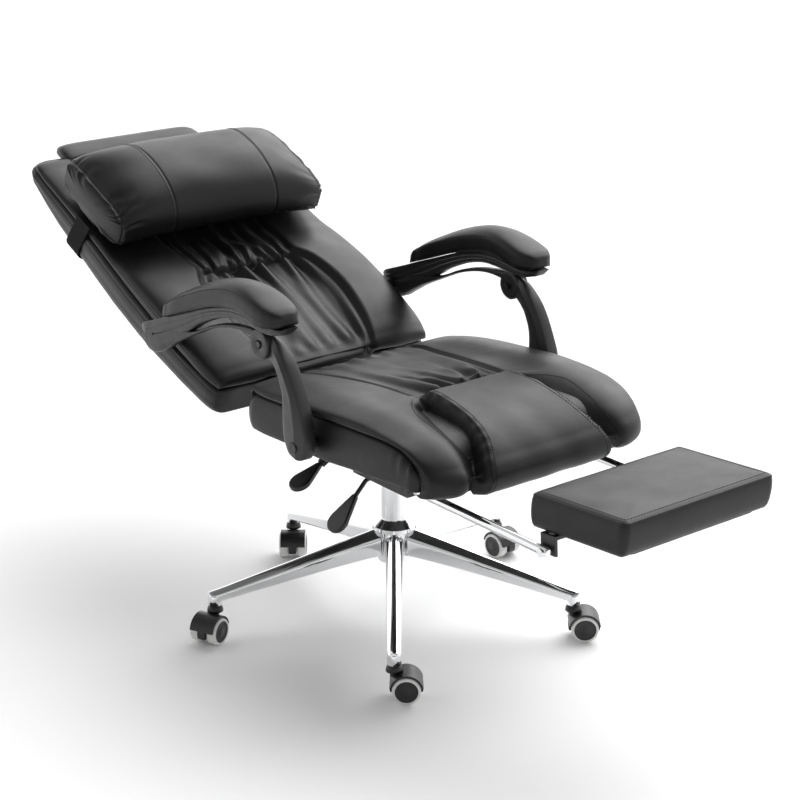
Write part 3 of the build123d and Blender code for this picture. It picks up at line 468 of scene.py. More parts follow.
# Seat cushion: side bolsters, a gathered centre panel behind, and a smooth front panel over the nose
# Each row: top line y, z and side seam y, z, from the rear roll over the top and down the nose
seat_lines = [
    (106, 452, 104, 452), (122, 458, 109, 455), (126, 466, 110, 460), (117, 473, 104, 465),
    (92, 479, 86, 468), (40, 487, 40, 472), (-43, 497, -43, 479), (-120, 503, -118, 485),
    (-185, 506, -180, 488), (-250, 506, -242, 490), (-312, 497, -296, 490), (-362, 480, -336, 482),
    (-398, 456, -360, 464), (-415, 436, -371, 444), (-414, 424, -374, 430), (-404, 416, -371, 421),
    (-388, 412, -364, 416),
]
seat_rows = 270
seat_curve = curve(seat_lines, seat_rows)
seat_top, seat_seam = seat_curve[:, :2], seat_curve[:, 2:]
seat_run = run_along(seat_top)
front_seam = np.interp(185.0, -seat_top[20:200, 0], seat_run[20:200])
lead = (seat_run - front_seam)[:, None]
seat_half = track(-seat_seam[:, 0], [
    (-110, 236), (-60, 250), (0, 255), (100, 257), (200, 256), (300, 250), (374, 240),
])
seat_power = track(lead[:, 0], [(-330, 3.6), (-240, 4.6), (100, 4.6), (180, 4.0), (250, 3.4), (295, 3.2)])
x = shares[None] * seat_half[:, None]
reach = np.abs(x)
valley_x = track(lead, [(0, 100), (35, 104), (80, 109), (150, 115), (200, 126), (235, 140), (265, 150), (295, 155)])
rear_x = track(-lead, [(0, 99), (70, 101), (140, 107), (210, 114), (260, 124), (320, 130)])
ahead, behind = step(lead / 40.0), step(-lead / 14.0)
inside_rear = step((rear_x - reach) / 16.0)
relief = 8.0 * dent(reach - 190.0, 44.0) * step((lead + 340.0) / 130.0)
valley_slope = track(lead, [(0, 12), (40, 26), (100, 36), (180, 32), (240, 20), (295, 12)])
relief -= ahead * 23.0 * dent(reach - valley_x, np.where(reach > valley_x, valley_slope, 7.5))
relief += 14.0 * step(lead / 34.0) * np.clip(1 - (reach / valley_x) ** 16, 0, 1)
relief += behind * (-7.0 * dent(reach - rear_x, 6.0) - 3.0 * inside_rear)
relief += behind * inside_rear * folds(
    x, -lead + 0 * x, fold_rows(11, 8, -92, 92, (90, 290), (6.0, 10.5), (7.0, 12.0), 38.0)
)
relief += behind * inside_rear * folds(
    x, 305.0 + lead + 0 * x, fold_rows(12, 5, -105, 105, (60, 170), (2.0, 4.5), (9.0, 14.0), 26.0)
)
relief -= 12.0 * dent(lead, 6.5) * step((104.0 - reach) / 8.0)
pleats = np.sin(lead / 4.6 + 3.0 * np.sin(lead / 31.0)) * dent(reach - valley_x + 8.0, 9.0)
relief += 1.7 * ahead * pleats
plain = np.concatenate([x[..., None], np.broadcast_to(seat_top[:, None], x.shape + (2,))], -1)
relief += swell(plain, 1.0, 3)
relief *= step(crown(shares, 4.0) * 2.2)[None]
seat_grid, seat_rings = padded_rings(seat_top, seat_seam, seat_half, seat_power, relief, shares)
seat = add_skin("seat_cushion_leather", seat_rings, leather, "seat", ("seat_cushion",))

seat_normals = facing(seat_grid)
rows_all = np.arange(seat_rows, dtype=float)
lead_row = lambda value: np.interp(value, lead[:, 0], rows_all)
seat_sewing = []
for hand in (-1, 1):
    rows = np.linspace(lead_row(6.0), lead_row(280.0), 260)
    edge = track(np.interp(rows, rows_all, lead[:, 0]), [
        (0, 92), (35, 91), (80, 95), (150, 100), (200, 110), (235, 124), (265, 134), (295, 139),
    ])
    for offset in (0.0, 7.0):
        columns = columns_at(hand * (edge - offset), rows, seat_half)
        seat_sewing.append(lines_on(seat_grid, seat_normals, rows, columns))
    rows = np.linspace(lead_row(10.0), lead_row(280.0), 260)
    edge = np.interp(rows, rows_all, valley_x[:, 0]) + track(np.interp(rows, rows_all, lead[:, 0]), [
        (0, 6), (30, 28), (80, 50), (150, 48), (230, 28), (295, 16),
    ])
    seat_sewing.append(lines_on(seat_grid, seat_normals, rows, columns_at(hand * edge, rows, seat_half)))
    rows = np.linspace(lead_row(-290.0), lead_row(-8.0), 240)
    edge = np.interp(rows, rows_all, rear_x[:, 0]) + 8.0
    seat_sewing.append(lines_on(seat_grid, seat_normals, rows, columns_at(hand * edge, rows, seat_half)))
    for column in (9, 20):
        place = column if hand < 0 else len(shares) - 1 - column
        seat_sewing.append(column_line(seat_grid, seat_normals, place, 12, seat_rows - 14, 300))
rows = np.full(120, lead_row(8.0))
columns = np.linspace(*columns_at(np.array([-94.0, 94.0]), rows[:2], seat_half), 120)
seat_sewing.append(lines_on(seat_grid, seat_normals, rows, columns))
add_stitches("seat_stitching", seat_sewing, "seat")


def round_ring(half, rear, front, rear_radius, front_radius, count=60):
    """Level ring of a rounded rectangle."""
    points = []
    for cx, cy, start, radius in (
        (half - rear_radius, rear - rear_radius, 0, rear_radius),
        (-half + rear_radius, rear - rear_radius, 90, rear_radius),
        (-half + front_radius, front + front_radius, 180, front_radius),
        (half - front_radius, front + front_radius, 270, front_radius),
    ):
        for angle in np.radians(np.linspace(start, start + 90, count)):
            points.append((cx + radius * cos(angle), cy + radius * sin(angle), 0.0))
    ring = np.array(points)
    filled = []
    for a, b in zip(ring, np.roll(ring, -1, axis=0)):
        parts = max(1, int(np.linalg.norm(b - a) / 5.0))
        filled += [a + (b - a) * k / parts for k in range(parts)]
    return np.array(filled)


def outward_of(ring, middle):
    """Level directions out of a ring, away from its middle."""
    heading = np.gradient(ring, axis=0)
    out = np.stack([heading[:, 1], -heading[:, 0], np.zeros(len(ring))], 1)
    out /= np.linalg.norm(out, axis=1, keepdims=True)
    return out * np.where(np.sum(out * (ring - middle), axis=1, keepdims=True) < 0, -1, 1)


# Seat boxing: the band under the cushion, drawn in to a dark groove at its top
boxing_profile = [
    (40.0, 0.0), (22.0, 0.004), (9.0, 0.03), (3.0, 0.09), (0.5, 0.19), (-1.0, 0.32), (-1.5, 0.46), (-1.0, 0.60),
    (0.5, 0.72), (2.0, 0.81), (5.0, 0.89), (10.0, 0.95), (18.0, 0.985), (40.0, 1.0),
]
boxing_rings = []
ring = round_ring(253.0, 121.0, -372.0, 40.0, 20.0)
outward = outward_of(ring, np.array([0.0, -125.0, 0.0]))
ring_low = track(-ring[:, 1], [(-126, 397), (-60, 395), (0, 396), (123, 399.5), (214, 407), (314, 416), (380, 417)])
ring_high = track(-ring[:, 1], [
    (-126, 457), (-100, 464), (-40, 470), (43, 477), (120, 483), (185, 486), (250, 488), (300, 487), (340, 479),
    (374, 460),
])
for inset, share in boxing_profile:
    bulge = 1.1 * np.sin(ring[:, 1] / 27.0 + ring[:, 0] / 19.0) * step((0.75 - share) * 3.0)
    bulge += 1.6 * np.sin(ring[:, 1] / 3.9) * step((-290.0 - ring[:, 1]) / 60.0) * step((share - 0.4) * 3.0)
    level = ring + outward * (bulge - inset)[:, None]
    level[:, 2] = ring_low + (ring_high - ring_low) * share
    boxing_rings.append(level)
boxing = add_skin("seat_boxing_leather", np.array(boxing_rings), leather, "seat", ("seat_boxing",))

# Back cushion: side bolsters, a folded centre panel, and a gathered panel above the shirred seam
# Each row: top line u, n and side seam u, n, from the lower roll to the top
back_lines = [
    (3, 4, 5, 2), (-4, 11, 4, 2), (0, 23, 6, 3), (20, 32, 22, 3), (60, 39, 60, 4), (130, 44, 130, 4),
    (200, 44, 200, 4), (295, 38, 295, 4), (350, 28, 350, 3), (390, 20, 390, 3), (480, 17, 480, 2),
    (600, 17, 600, 2), (684, 16, 684, 2), (716, 13, 714, 2), (725, 7, 722, 1), (725, 2, 723, 1),
]
back_rows = 330
back_curve = curve(back_lines, back_rows)
back_top, back_seam = back_curve[:, :2], back_curve[:, 2:]
up = back_top[:, 0][:, None]
back_half = track(back_seam[:, 0], [
    (4, 242), (30, 249), (100, 254), (200, 255), (300, 253), (400, 248), (500, 243), (560, 242), (620, 241.5),
    (690, 240), (714, 237), (723, 232),
])
back_power = track(back_seam[:, 0], [(4, 5.0), (200, 5.6), (400, 5.8), (723, 5.8)])
x = shares[None] * back_half[:, None]
reach = np.abs(x)
panel_x = track(up, [
    (-10, 102), (34, 116), (99, 131), (164, 139), (220, 136), (264, 125), (302, 108), (340, 113), (380, 116),
    (500, 126), (600, 140), (720, 157),
])
shirr = 296.0 + 0.0004 * (x - 10.0) ** 2 - 2.0
below_shirr, above_shirr = step((shirr - up) / 12.0), step((up - shirr) / 5.0)
inside = step((panel_x - reach) / 18.0)
bowl = track(up, [(-10, 10), (30, 15), (80, 20), (200, 23), (296, 19), (350, 10), (400, 4), (720, 2)])
relief = -bowl * step((panel_x + 16.0 - reach) / 40.0) - 4.0 * dent(reach - panel_x, 6.0)
relief += 3.0 * dent(reach - (panel_x + back_half[:, None]) / 2, 42.0)
relief += inside * below_shirr * folds(
    x, shirr - up, fold_rows(21, 7, -112, 112, (190, 420), (6.5, 11.0), (9.0, 15.0), 30.0)
)
relief += inside * below_shirr * step((up - 8.0) / 34.0) * folds(
    x, up + 12.0 + 0 * x, fold_rows(24, 5, -100, 100, (130, 260), (4.0, 7.0), (9.0, 15.0), 26.0)
)
relief += inside * above_shirr * folds(
    x, up - shirr, fold_rows(22, 9, -106, 106, (130, 260), (4.0, 7.5), (5.0, 8.0), 26.0)
)
relief += inside * (7.0 * dent(up - shirr - 26.0, 44.0) * above_shirr - 9.0 * dent(up - shirr + 3.0, 4.0))
plain = to_back(np.concatenate([x[..., None], np.broadcast_to(back_top[:, None], x.shape + (2,))], -1))
relief += swell(plain, 1.1, 7)
relief *= step(crown(shares, 4.0) * 2.2)[None]
back_grid, back_rings = padded_rings(back_top, back_seam, back_half, back_power, relief, shares)
back_grid, back_rings = to_back(back_grid), to_back(back_rings)
back = add_skin("back_cushion_leather", back_rings, leather, "back", ("back_cushion",))

back_normals = facing(back_grid)
rows_all = np.arange(back_rows, dtype=float)
up_row = lambda value: np.interp(value, up[6:-6, 0], rows_all[6:-6])
back_sewing = []
for hand in (-1, 1):
    rows = np.linspace(up_row(4.0), up_row(700.0), 420)
    edge = np.interp(rows, rows_all, panel_x[:, 0]) + 9.0
    back_sewing.append(lines_on(back_grid, back_normals, rows, columns_at(hand * edge, rows, back_half)))
    for column in (8, 19):
        place = column if hand < 0 else len(shares) - 1 - column
        back_sewing.append(column_line(back_grid, back_normals, place, 12, back_rows - 12, 420))
rows = np.full(160, up_row(301.0))
columns = np.linspace(*columns_at(np.array([-102.0, 102.0]), rows[:2], back_half), 160)
back_sewing.append(lines_on(back_grid, back_normals, rows, columns))
add_stitches("back_stitching", back_sewing, "back")

# Roll at the top of the centre panel
roll_rings = []
angle = full_turn(240)
cs, sn = np.cos(angle), np.sin(angle)
for u, half, low, high in (
    (704, 163, -4, 15), (722, 165, -8, 18), (740, 165, -12, 18.5), (756, 163.5, -15, 16), (769, 160, -17, 11),
    (777, 154, -17, 4), (780, 146, -15, -2),
):
    ring = np.stack([
        half * np.sign(cs) * np.abs(cs) ** 0.22,
        np.full(240, float(u)),
        (low + high) / 2 + (high - low) / 2 * np.sign(sn) * np.abs(sn) ** 0.6,
    ], 1)
    roll_rings.append(ring)
roll_rings = to_back(np.array(roll_rings))
roll = add_skin("back_top_roll", roll_rings, leather, "back")

# Back shell: rear upholstery with a groove under the cushion, rounded to the rear
shell_u = np.array([
    1, 3, 7, 14, 26, 45, 70, 100, 140, 190, 240, 300, 360,
    420, 480, 520, 560, 600, 650, 690, 712, 726, 734, 738, 740,
], float)
shell_half = track(shell_u, [
    (1, 243), (26, 247), (60, 250), (130, 254), (240, 255.5), (350, 253), (450, 248.5), (515, 245),
    (560, 243.5), (620, 242.5), (690, 241), (726, 238), (740, 230),
])
shell_depth = track(shell_u, [
    (1, 65), (34, 69), (80, 72), (126, 75), (240, 80), (350, 82), (450, 80), (548, 73), (626, 61), (699, 40),
    (726, 30), (740, 23),
])
shell_tuck = np.interp(
    shell_u,
    [1, 3, 7, 14, 26, 712, 726, 734, 738, 740],
    [0.95, 0.97, 0.985, 0.995, 1.0, 1.0, 0.99, 0.97, 0.94, 0.88],
)
shell_rings = []
for u, half, depth, tuck in zip(shell_u, shell_half, shell_depth, shell_tuck):
    half, depth = half * (0.5 + 0.5 * tuck), depth * tuck
    corner = 0.44 * depth
    side_n = np.linspace(-9.0, -(depth - corner), 20, endpoint=False)
    turn = np.linspace(0, pi / 2, 24, endpoint=False)
    flank = np.concatenate([
        np.stack([half + 1.5 * np.sin((side_n + 9.0) / (depth - corner - 9.0) * pi) ** 2, side_n], 1),
        np.stack([half - corner + corner * np.cos(turn), -(depth - corner) - corner * np.sin(turn)], 1),
    ])
    level = np.stack([np.linspace(half - corner, corner - half, 153), np.full(153, -depth)], 1)
    rear = np.concatenate([flank * [-1, 1], level[::-1], flank[::-1]])
    rear = np.stack([rear[:, 0], np.full(241, u), rear[:, 1]], 1)
    lip = [(half - 3.0, -5.5), (half - 8.0, -2.6), (half - 16.0, -1.2), (half - 60.0, -1.2)]
    front = [(a, u, b) for a, b in lip] + [(a, u, -1.2) for a in np.linspace(half - 90.0, -half + 90.0, 8)]
    front += [(-a, u, b) for a, b in lip[::-1]]
    shell_rings.append(np.concatenate([rear, np.array(front)]))
shell_rings = refined(np.array(shell_rings), 180)
shell_plain = to_back(shell_rings)
shell_rings[..., 2] += swell(shell_plain, 0.6, 9) * (shell_rings[..., 2] < -30.0)
shell_grid = to_back(shell_rings)
shell = add_skin("back_shell_leather", shell_grid, leather, "back", ("back_shell",))
rear_grid = shell_grid[:, :241]
rear_normals = facing(rear_grid)
shell_sewing = [column_line(rear_grid, rear_normals, column, 4, 176, 420) for column in (4, 236)]
add_stitches("back_shell_stitching", shell_sewing, "back")

# Head pillow: three panels, plump between the end seams, with a gathered cap at each end
pillow_seam, cap_depth = 232.0, 17.0
pillow_u, pillow_radius = 504.0, 95.0
around = 320
angle = full_turn(around)[None]
cap = np.radians(np.linspace(88, 3, 34))
pillow_x = np.concatenate([
    -pillow_seam - cap_depth * np.sin(cap),
    np.linspace(-pillow_seam, pillow_seam, 230),
    pillow_seam + cap_depth * np.sin(cap[::-1]),
])[:, None]
pillow_size = np.concatenate([np.cos(cap) ** 0.7 * 0.98, np.ones(230), np.cos(cap[::-1]) ** 0.7 * 0.98])[:, None]
end = np.clip(np.abs(pillow_x) / pillow_seam, 0, 1)
on_cap = np.abs(pillow_x) > pillow_seam
power = 2 / (2.1 + 1.7 * end**5)
round_u = np.sign(np.cos(angle)) * np.abs(np.cos(angle)) ** power
round_n = np.sign(np.sin(angle)) * np.abs(np.sin(angle)) ** power
middle_n = 73.0 - 7.0 * end**4
lobe_u = round_u * (118.0 - 6.0 * end**6)
lobe_n = round_n * np.where(round_n > 0, 103.0 + 48.0 * (1 - end**4) - middle_n, middle_n - 21.0 - 8.0 * end**6)
girth = angle * pillow_radius + 0 * pillow_x
from_seam = np.where(on_cap, (1 - pillow_size) * 85.0, pillow_seam - np.abs(pillow_x)) + 0 * girth
body_relief, cap_relief = np.zeros_like(girth), np.zeros_like(girth)
for side, seed in ((-1, 31), (1, 33)):
    here = (np.sign(pillow_x) == side) & (np.abs(pillow_x) > 90.0)
    once_round = 2 * pi * pillow_radius
    gathers = fold_rows(seed, 12, 0.0, once_round, (30, 90), (1.6, 4.0), (5.0, 9.0), 18.0)
    outer = fold_rows(seed + 1, 12, 0.0, once_round, (26, 58), (2.0, 4.4), (5.0, 8.5), 12.0)
    body_relief += (here & ~on_cap) * folds(girth, from_seam, gathers)
    cap_relief += side * (here & on_cap) * folds(girth, from_seam, outer) * step(pillow_size * 2.0)
body_relief -= 2.2 * dent(np.abs(pillow_x) - pillow_seam, 2.4) + 1.6 * dent(np.abs(pillow_x) - 118.0, 2.0)
length = np.hypot(lobe_u, lobe_n)
grow = pillow_size * (1 + body_relief / np.maximum(length, 40.0))
pillow_local = np.stack([
    pillow_x + cap_relief,
    pillow_u + lobe_u * grow,
    np.maximum(middle_n + lobe_n * grow, 21.6),
], -1)
uneven = swell(to_back(pillow_local), 0.8, 5) * (pillow_size**2)
pillow_local[..., 1] += uneven * lobe_u / length
pillow_local[..., 2] += uneven * np.maximum(lobe_n / length, 0)
pillow_grid = to_back(pillow_local)
pillow = add_skin("head_pillow_leather", pillow_grid, leather, "pillow", ("head_pillow",))
pillow_normals = facing(pillow_grid)
pillow_sewing = []
row_at = lambda value: np.interp(value, pillow_x[:, 0], np.arange(len(pillow_x)))
for value in (-227.5, -122.5, 122.5, 227.5):
    columns = np.linspace(0, around - 2, 500)
    pillow_sewing.append(lines_on(pillow_grid, pillow_normals, np.full(500, row_at(value)), columns))
add_stitches("pillow_stitching", pillow_sewing, "pillow")

# Elastic strap round the sides and the rear of the back
strap_half, strap_turn, strap_turn_n = 248.2, 35.0, -43.6
strap_u = 510.0
strap_flank = (26.0, 10.0, -15.0)
strap_path = [(-strap_half, n) for n in strap_flank]
for cx, start in ((strap_turn - strap_half, 180), (strap_half - strap_turn, 270)):
    for a in np.radians(np.linspace(start, start + 90, 14)):
        strap_path.append((cx + strap_turn * cos(a), strap_turn_n + strap_turn * sin(a)))
strap_path += [(strap_half, n) for n in strap_flank[::-1]]
strap_run = curve(strap_path, 300)
strap_heading = np.gradient(strap_run, axis=0)
strap_heading /= np.linalg.norm(strap_heading, axis=1, keepdims=True)
strap_out = np.stack([strap_heading[:, 1], -strap_heading[:, 0]], 1)
strap_out *= np.where(np.sum(strap_out * (strap_run - np.array([0, -10.0])), axis=1, keepdims=True) < 0, -1, 1)
strap_section = [(-24.0, 0.5), (-23.3, 1.5)] + [(d, 1.7) for d in np.linspace(-20, 20, 18)]
strap_section += [(23.3, 1.5), (24.0, 0.5), (23.3, 0.2)]
strap_section += [(d, 0.1) for d in np.linspace(20, -20, 8)] + [(-23.3, 0.2)]
strap_rings = [
    [(x + out[0] * lift, strap_u - 0.3 * n + d, n + out[1] * lift) for d, lift in strap_section]
    for (x, n), out in zip(strap_run, strap_out)
]
strap_rings = to_back(np.array(strap_rings))
strap = add_skin("pillow_strap_band", strap_rings, elastic, "pillow", ("pillow_strap",))

# Footrest cushion
foot_tilt = radians(foot_rise)


def to_foot(points):
    """Points given as x, forward and up from the footrest's rear top edge, in the chair's frame."""
    x, f, w = points[..., 0], points[..., 1], points[..., 2]
    y = foot_rear_y - f * cos(foot_tilt) - w * sin(foot_tilt)
    return np.stack([x, y, foot_top_z + f * sin(foot_tilt) + w * cos(foot_tilt)], -1)


foot_profile = [
    (46.0, -62.4), (26.0, -62.4), (10.0, -61.5), (4.0, -58.5), (1.0, -53.0), (-1.0, -44.0), (-2.2, -32.0),
    (-2.2, -20.0), (-1.4, -12.0), (-0.2, -7.0), (1.0, -4.2), (2.6, -2.8), (3.8, -2.4), (5.2, -1.4), (8.5, 0.2),
]
foot_rings = []
base_ring = round_ring(165.5, 210.5, 0.5, 13.0, 13.0, 24)
foot_middle = np.array([0.0, 105.5, 0.0])
outward = outward_of(base_ring, foot_middle)
for inset, height in foot_profile:
    ring = base_ring - outward * inset
    ring[:, 2] = height
    foot_rings.append(ring)
last = foot_rings[-1]
for k in np.linspace(0.97, 0.03, 40):
    ring = foot_middle + (last - foot_middle) * np.array([k, k, 0.0])
    ring[:, 2] = 0.2 + 6.0 * (1 - k**2.4)
    foot_rings.append(ring)
foot_rings = np.array(foot_rings)
foot_rings[..., 2] += swell(foot_rings, 0.5, 13) * (foot_rings[..., 2] > 0.3)
foot_grid = to_foot(foot_rings)
foot = add_skin("footrest_cushion_leather", foot_grid, leather, "footrest", ("footrest_cushion",))
foot_normals = facing(foot_grid)
columns = np.linspace(0, foot_grid.shape[1] - 1.01, 600)
foot_sewing = [lines_on(foot_grid, foot_normals, np.full(600, row), columns) for row in (14.6, 9.6)]
add_stitches("footrest_stitching", foot_sewing, "footrest")


# Arms

def strip_rings(pairs, section, count, width, centre):
    """Rings of a bar between two edge lines in the side plane. The section lists place and half width."""
    line = curve(pairs, count)
    top, low = line[:, :2], line[:, 2:]
    wide = np.atleast_1d(width)
    rings = []
    for i in range(count):
        place = lambda v: top[i] + (low[i] - top[i]) * v
        ring = [(centre + h * wide[i], *place(v)) for v, h in section]
        ring += [(centre - h * wide[i], *place(v)) for v, h in section[::-1]]
        rings.append(ring)
    return np.array(rings)


# Sections list the place between the two edge lines and the half width there.
# Pairs list y, z of both edge lines, from one end of the piece to the other.
upper_section = [
    (0.0, 0.86), (0.015, 0.93), (0.05, 0.98), (0.10, 1.0), (0.24, 1.0), (0.29, 0.97), (0.32, 0.88),
    (0.35, 0.86), (0.38, 0.88), (0.42, 0.90), (0.55, 0.88), (0.59, 0.84), (0.62, 0.74), (0.65, 0.72),
    (0.70, 0.73), (0.85, 0.68), (0.92, 0.63), (0.97, 0.56), (1.0, 0.46),
]
lower_section = [
    (0.0, 0.50), (0.03, 0.66), (0.08, 0.80), (0.16, 0.90), (0.30, 0.97), (0.42, 1.0), (0.48, 0.97),
    (0.52, 0.95), (0.56, 0.97), (0.70, 1.0), (0.84, 0.92), (0.92, 0.82), (0.97, 0.68), (1.0, 0.52),
]
upper_pairs = [
    (-84, 638, -81, 632), (-80, 635.5, -76, 626.5), (-66, 634.5, -62, 621), (-38, 636.5, -36, 615),
    (-10, 642, -8, 615.5), (20, 647, 25, 618.5), (55, 644.5, 62, 619.5), (110, 633, 115, 608.5),
    (155, 619.5, 152, 594.5), (197, 604, 190, 577), (232, 591, 214, 562), (262, 580, 245, 545),
    (292, 568.5, 287, 528), (330, 554, 324, 512), (360, 543, 356, 506), (378, 535.5, 377, 508),
    (385, 530, 385, 514),
]
lower_pairs = [
    (-2, 609, 4, 594), (15, 611.5, 20, 596), (60, 608.5, 62, 599), (109, 599, 109, 592), (152, 585, 156, 577),
    (185, 570, 192, 561), (215, 559, 222, 547), (246, 553, 256, 531), (290, 545, 297, 507),
    (324, 530, 322, 493), (352, 522, 350, 487), (374, 518, 372, 494), (386, 516, 385, 506),
]
pad_pairs = [
    (292, 571, 290, 583), (284, 573, 281, 594), (262, 581, 257, 609), (197, 605.5, 191, 640),
    (110, 634.5, 107, 669.5), (57, 646, 57, 680), (20, 648.5, 22, 681), (-12, 643, -9, 677),
    (-36, 638, -33, 671.5), (-56, 637, -54, 666), (-70, 638, -69, 661.5), (-77, 640, -76.5, 657),
    (-80, 643, -79.5, 652),
]
upright_pairs = [
    (-22, 610, -8, 578), (-40, 603, -22, 571), (-56, 590, -36, 563), (-72, 574, -47, 554), (-92, 545, -57, 537),
    (-106, 518, -63, 518), (-117, 490, -65, 494), (-123.5, 462, -66, 470), (-125, 440, -67, 447),
    (-123, 424, -71, 429), (-116, 412, -80, 415), (-106, 407, -92, 408.5),
]
upright_section = [
    (0.0, 0.54), (0.015, 0.62), (0.04, 0.67), (0.15, 0.82), (0.25, 0.955), (0.275, 0.99), (0.29, 1.0),
    (0.31, 1.0), (0.36, 0.985), (0.55, 0.93), (0.75, 0.87), (0.88, 0.82), (0.95, 0.74), (0.985, 0.64),
    (1.0, 0.52),
]


def disc_rings(centre_x, side, stations, y, z, count=72):
    """Rings of a turned disc in the side plane: stations list how far out and its radius."""
    angle = full_turn(count)
    return np.array([
        np.stack([np.full(count, centre_x + side * out), y + radius * np.cos(angle), z + radius * np.sin(angle)], 1)
        for out, radius in stations
    ])


def upright_rings(x, y, stations, count):
    """Level rings round an upright line: stations list the height and its radius."""
    angle = full_turn(count)
    return np.array([
        np.stack([x + radius * np.cos(angle), y + radius * np.sin(angle), np.full(count, float(z))], 1)
        for z, radius in stations
    ])


disc_face = [
    (-14.0, 20.0), (-13.0, 25.0), (-11.0, 26.7), (9.0, 26.7), (11.2, 26.2), (12.3, 25.0), (12.6, 23.6),
    (12.6, 8.4), (12.1, 7.8), (8.0, 7.4), (7.6, 7.0), (7.6, 3.0),
]
for hand, side in (("left", 1), ("right", -1)):
    body = f"armrest_{hand}"
    wide = track(np.linspace(0, 1, 150), [
        (0, 13), (0.03, 20), (0.10, 23), (0.45, 22), (0.60, 18), (0.72, 15.5), (0.9, 14), (0.97, 12.5),
        (1.0, 8),
    ])
    rings_a = strip_rings(upper_pairs, upper_section, 150, wide, side * arm_plane)
    wide = track(np.linspace(0, 1, 120), [
        (0, 9.0), (0.3, 9.5), (0.55, 11.0), (0.75, 13.5), (0.92, 13.5), (1.0, 8.0),
    ])
    rings_b = strip_rings(lower_pairs, lower_section, 120, wide, side * arm_plane)
    rings_c = disc_rings(side * arm_plane, side, disc_face, disc_y, disc_z)
    points, faces = joined([skin(rings_a), skin(rings_b), skin(rings_c)])
    add_piece(f"armrest_arch_{hand}", points, faces, arm_plastic, body, (f"armrest_frame_{hand}",))

    pad_curve = curve(pad_pairs, 190)
    low, high = pad_curve[:, :2], pad_curve[:, 2:]
    run = run_along(low)
    run = run / run[-1]
    half = track(run, [
        (0, 15), (0.02, 22), (0.08, 26.5), (0.25, 29), (0.45, 31.5), (0.6, 33.5), (0.733, 36.5), (0.82, 38),
        (0.885, 37.5), (0.937, 33.5), (0.973, 25), (0.99, 16), (1.0, 8),
    ])
    pad_shares = across_shares(141)
    pad_x = pad_shares[None] * half[:, None]
    height = crown(pad_shares, 7.0)[None]
    tall = high - low
    dome = 5.5 * np.clip(1 - (pad_x / half[:, None]) ** 2, 0, 1)
    dome *= track(run, [(0, 0.0), (0.05, 0.6), (0.12, 1.0), (0.9, 1.0), (0.97, 0.6), (1.0, 0.0)])[:, None]
    plain = np.concatenate([pad_x[..., None], np.broadcast_to(low[:, None], pad_x.shape + (2,))], -1)
    dome += swell(plain, 0.4, 17)
    lift = tall / np.linalg.norm(tall, axis=1, keepdims=True)
    plane = low[:, None] + height[..., None] * tall[:, None] + (dome * height)[..., None] * lift[:, None]
    upper = np.concatenate([(side * pad_plane + pad_x)[..., None], plane], -1)
    rings = closed_under(upper, 10)
    node = f"armrest_pad_{hand}"
    pad = add_skin(f"armrest_pad_leather_{hand}", rings, leather, body, (node,))
    pad_normals = facing(upper)
    pad_sewing = [column_line(upper, pad_normals, column, 8, 180, 300) for column in (24, 116)]
    add_stitches(f"armrest_pad_stitching_{hand}", pad_sewing, body)

    wide = track(np.linspace(0, 1, 130), [
        (0, 7), (0.04, 9.5), (0.12, 14), (0.25, 17.5), (0.5, 18.2), (0.9, 18.2), (0.97, 15), (1.0, 10),
    ])
    rings = strip_rings(upright_pairs, upright_section, 130, wide, side * upright_plane)
    node = f"arm_upright_{hand}"
    add_skin(f"arm_upright_blade_{hand}", rings, arm_plastic, node, (node,))


# Base arms: tapered, ridged chrome legs with a socket at each end
# Each leg station: distance from the column, height of the top, depth and width
leg_stations = [
    (27, 177, 52, 35), (60, 168.5, 47, 33.5), (120, 153, 40, 31), (200, 131.5, 32, 28.5), (280, 110.5, 25, 26),
    (325, 98.5, 21, 25), (340, 95, 20, 24.6), (348, 93.4, 19, 23), (353, 92.2, 17, 18), (355.5, 91.0, 14, 11),
]
leg_side = [
    (0.0, 1.0), (0.12, 0.997), (0.22, 0.985), (0.32, 0.96), (0.5, 0.895), (0.72, 0.81), (0.87, 0.745),
    (0.95, 0.69), (0.99, 0.61), (1.0, 0.5), (0.99, 0.25), (0.97, 0.08), (0.94, 0.02), (0.88, 0.0),
]
leg_section = leg_side + [(-a, b) for a, b in leg_side[:0:-1]]
socket_stations = [
    (66.2, 7.0), (66.2, 11.6), (66.9, 12.5), (80, 12.5), (86, 12.2), (88, 11.0), (89, 8.0), (89.2, 4.0),
]
arm_parts = []
for k in range(5):
    heading = radians(first_leg + leg_pitch * k)
    out = np.array([sin(heading), -cos(heading), 0.0])
    across = np.array([cos(heading), sin(heading), 0.0])
    rings = []
    for r, top, depth, width in leg_stations:
        rings.append([
            out * r + across * (a * width / 2) + np.array([0, 0, top - depth + b * depth]) for a, b in leg_section
        ])
    arm_parts.append(skin(refined(np.array(rings), 46)))
    x, y = out[0] * caster_circle, out[1] * caster_circle
    arm_parts.append(skin(upright_rings(x, y, socket_stations, 64)))
points, faces = joined(arm_parts)
add_piece("base_legs", points, faces, chrome, "base", ("base_arms",))

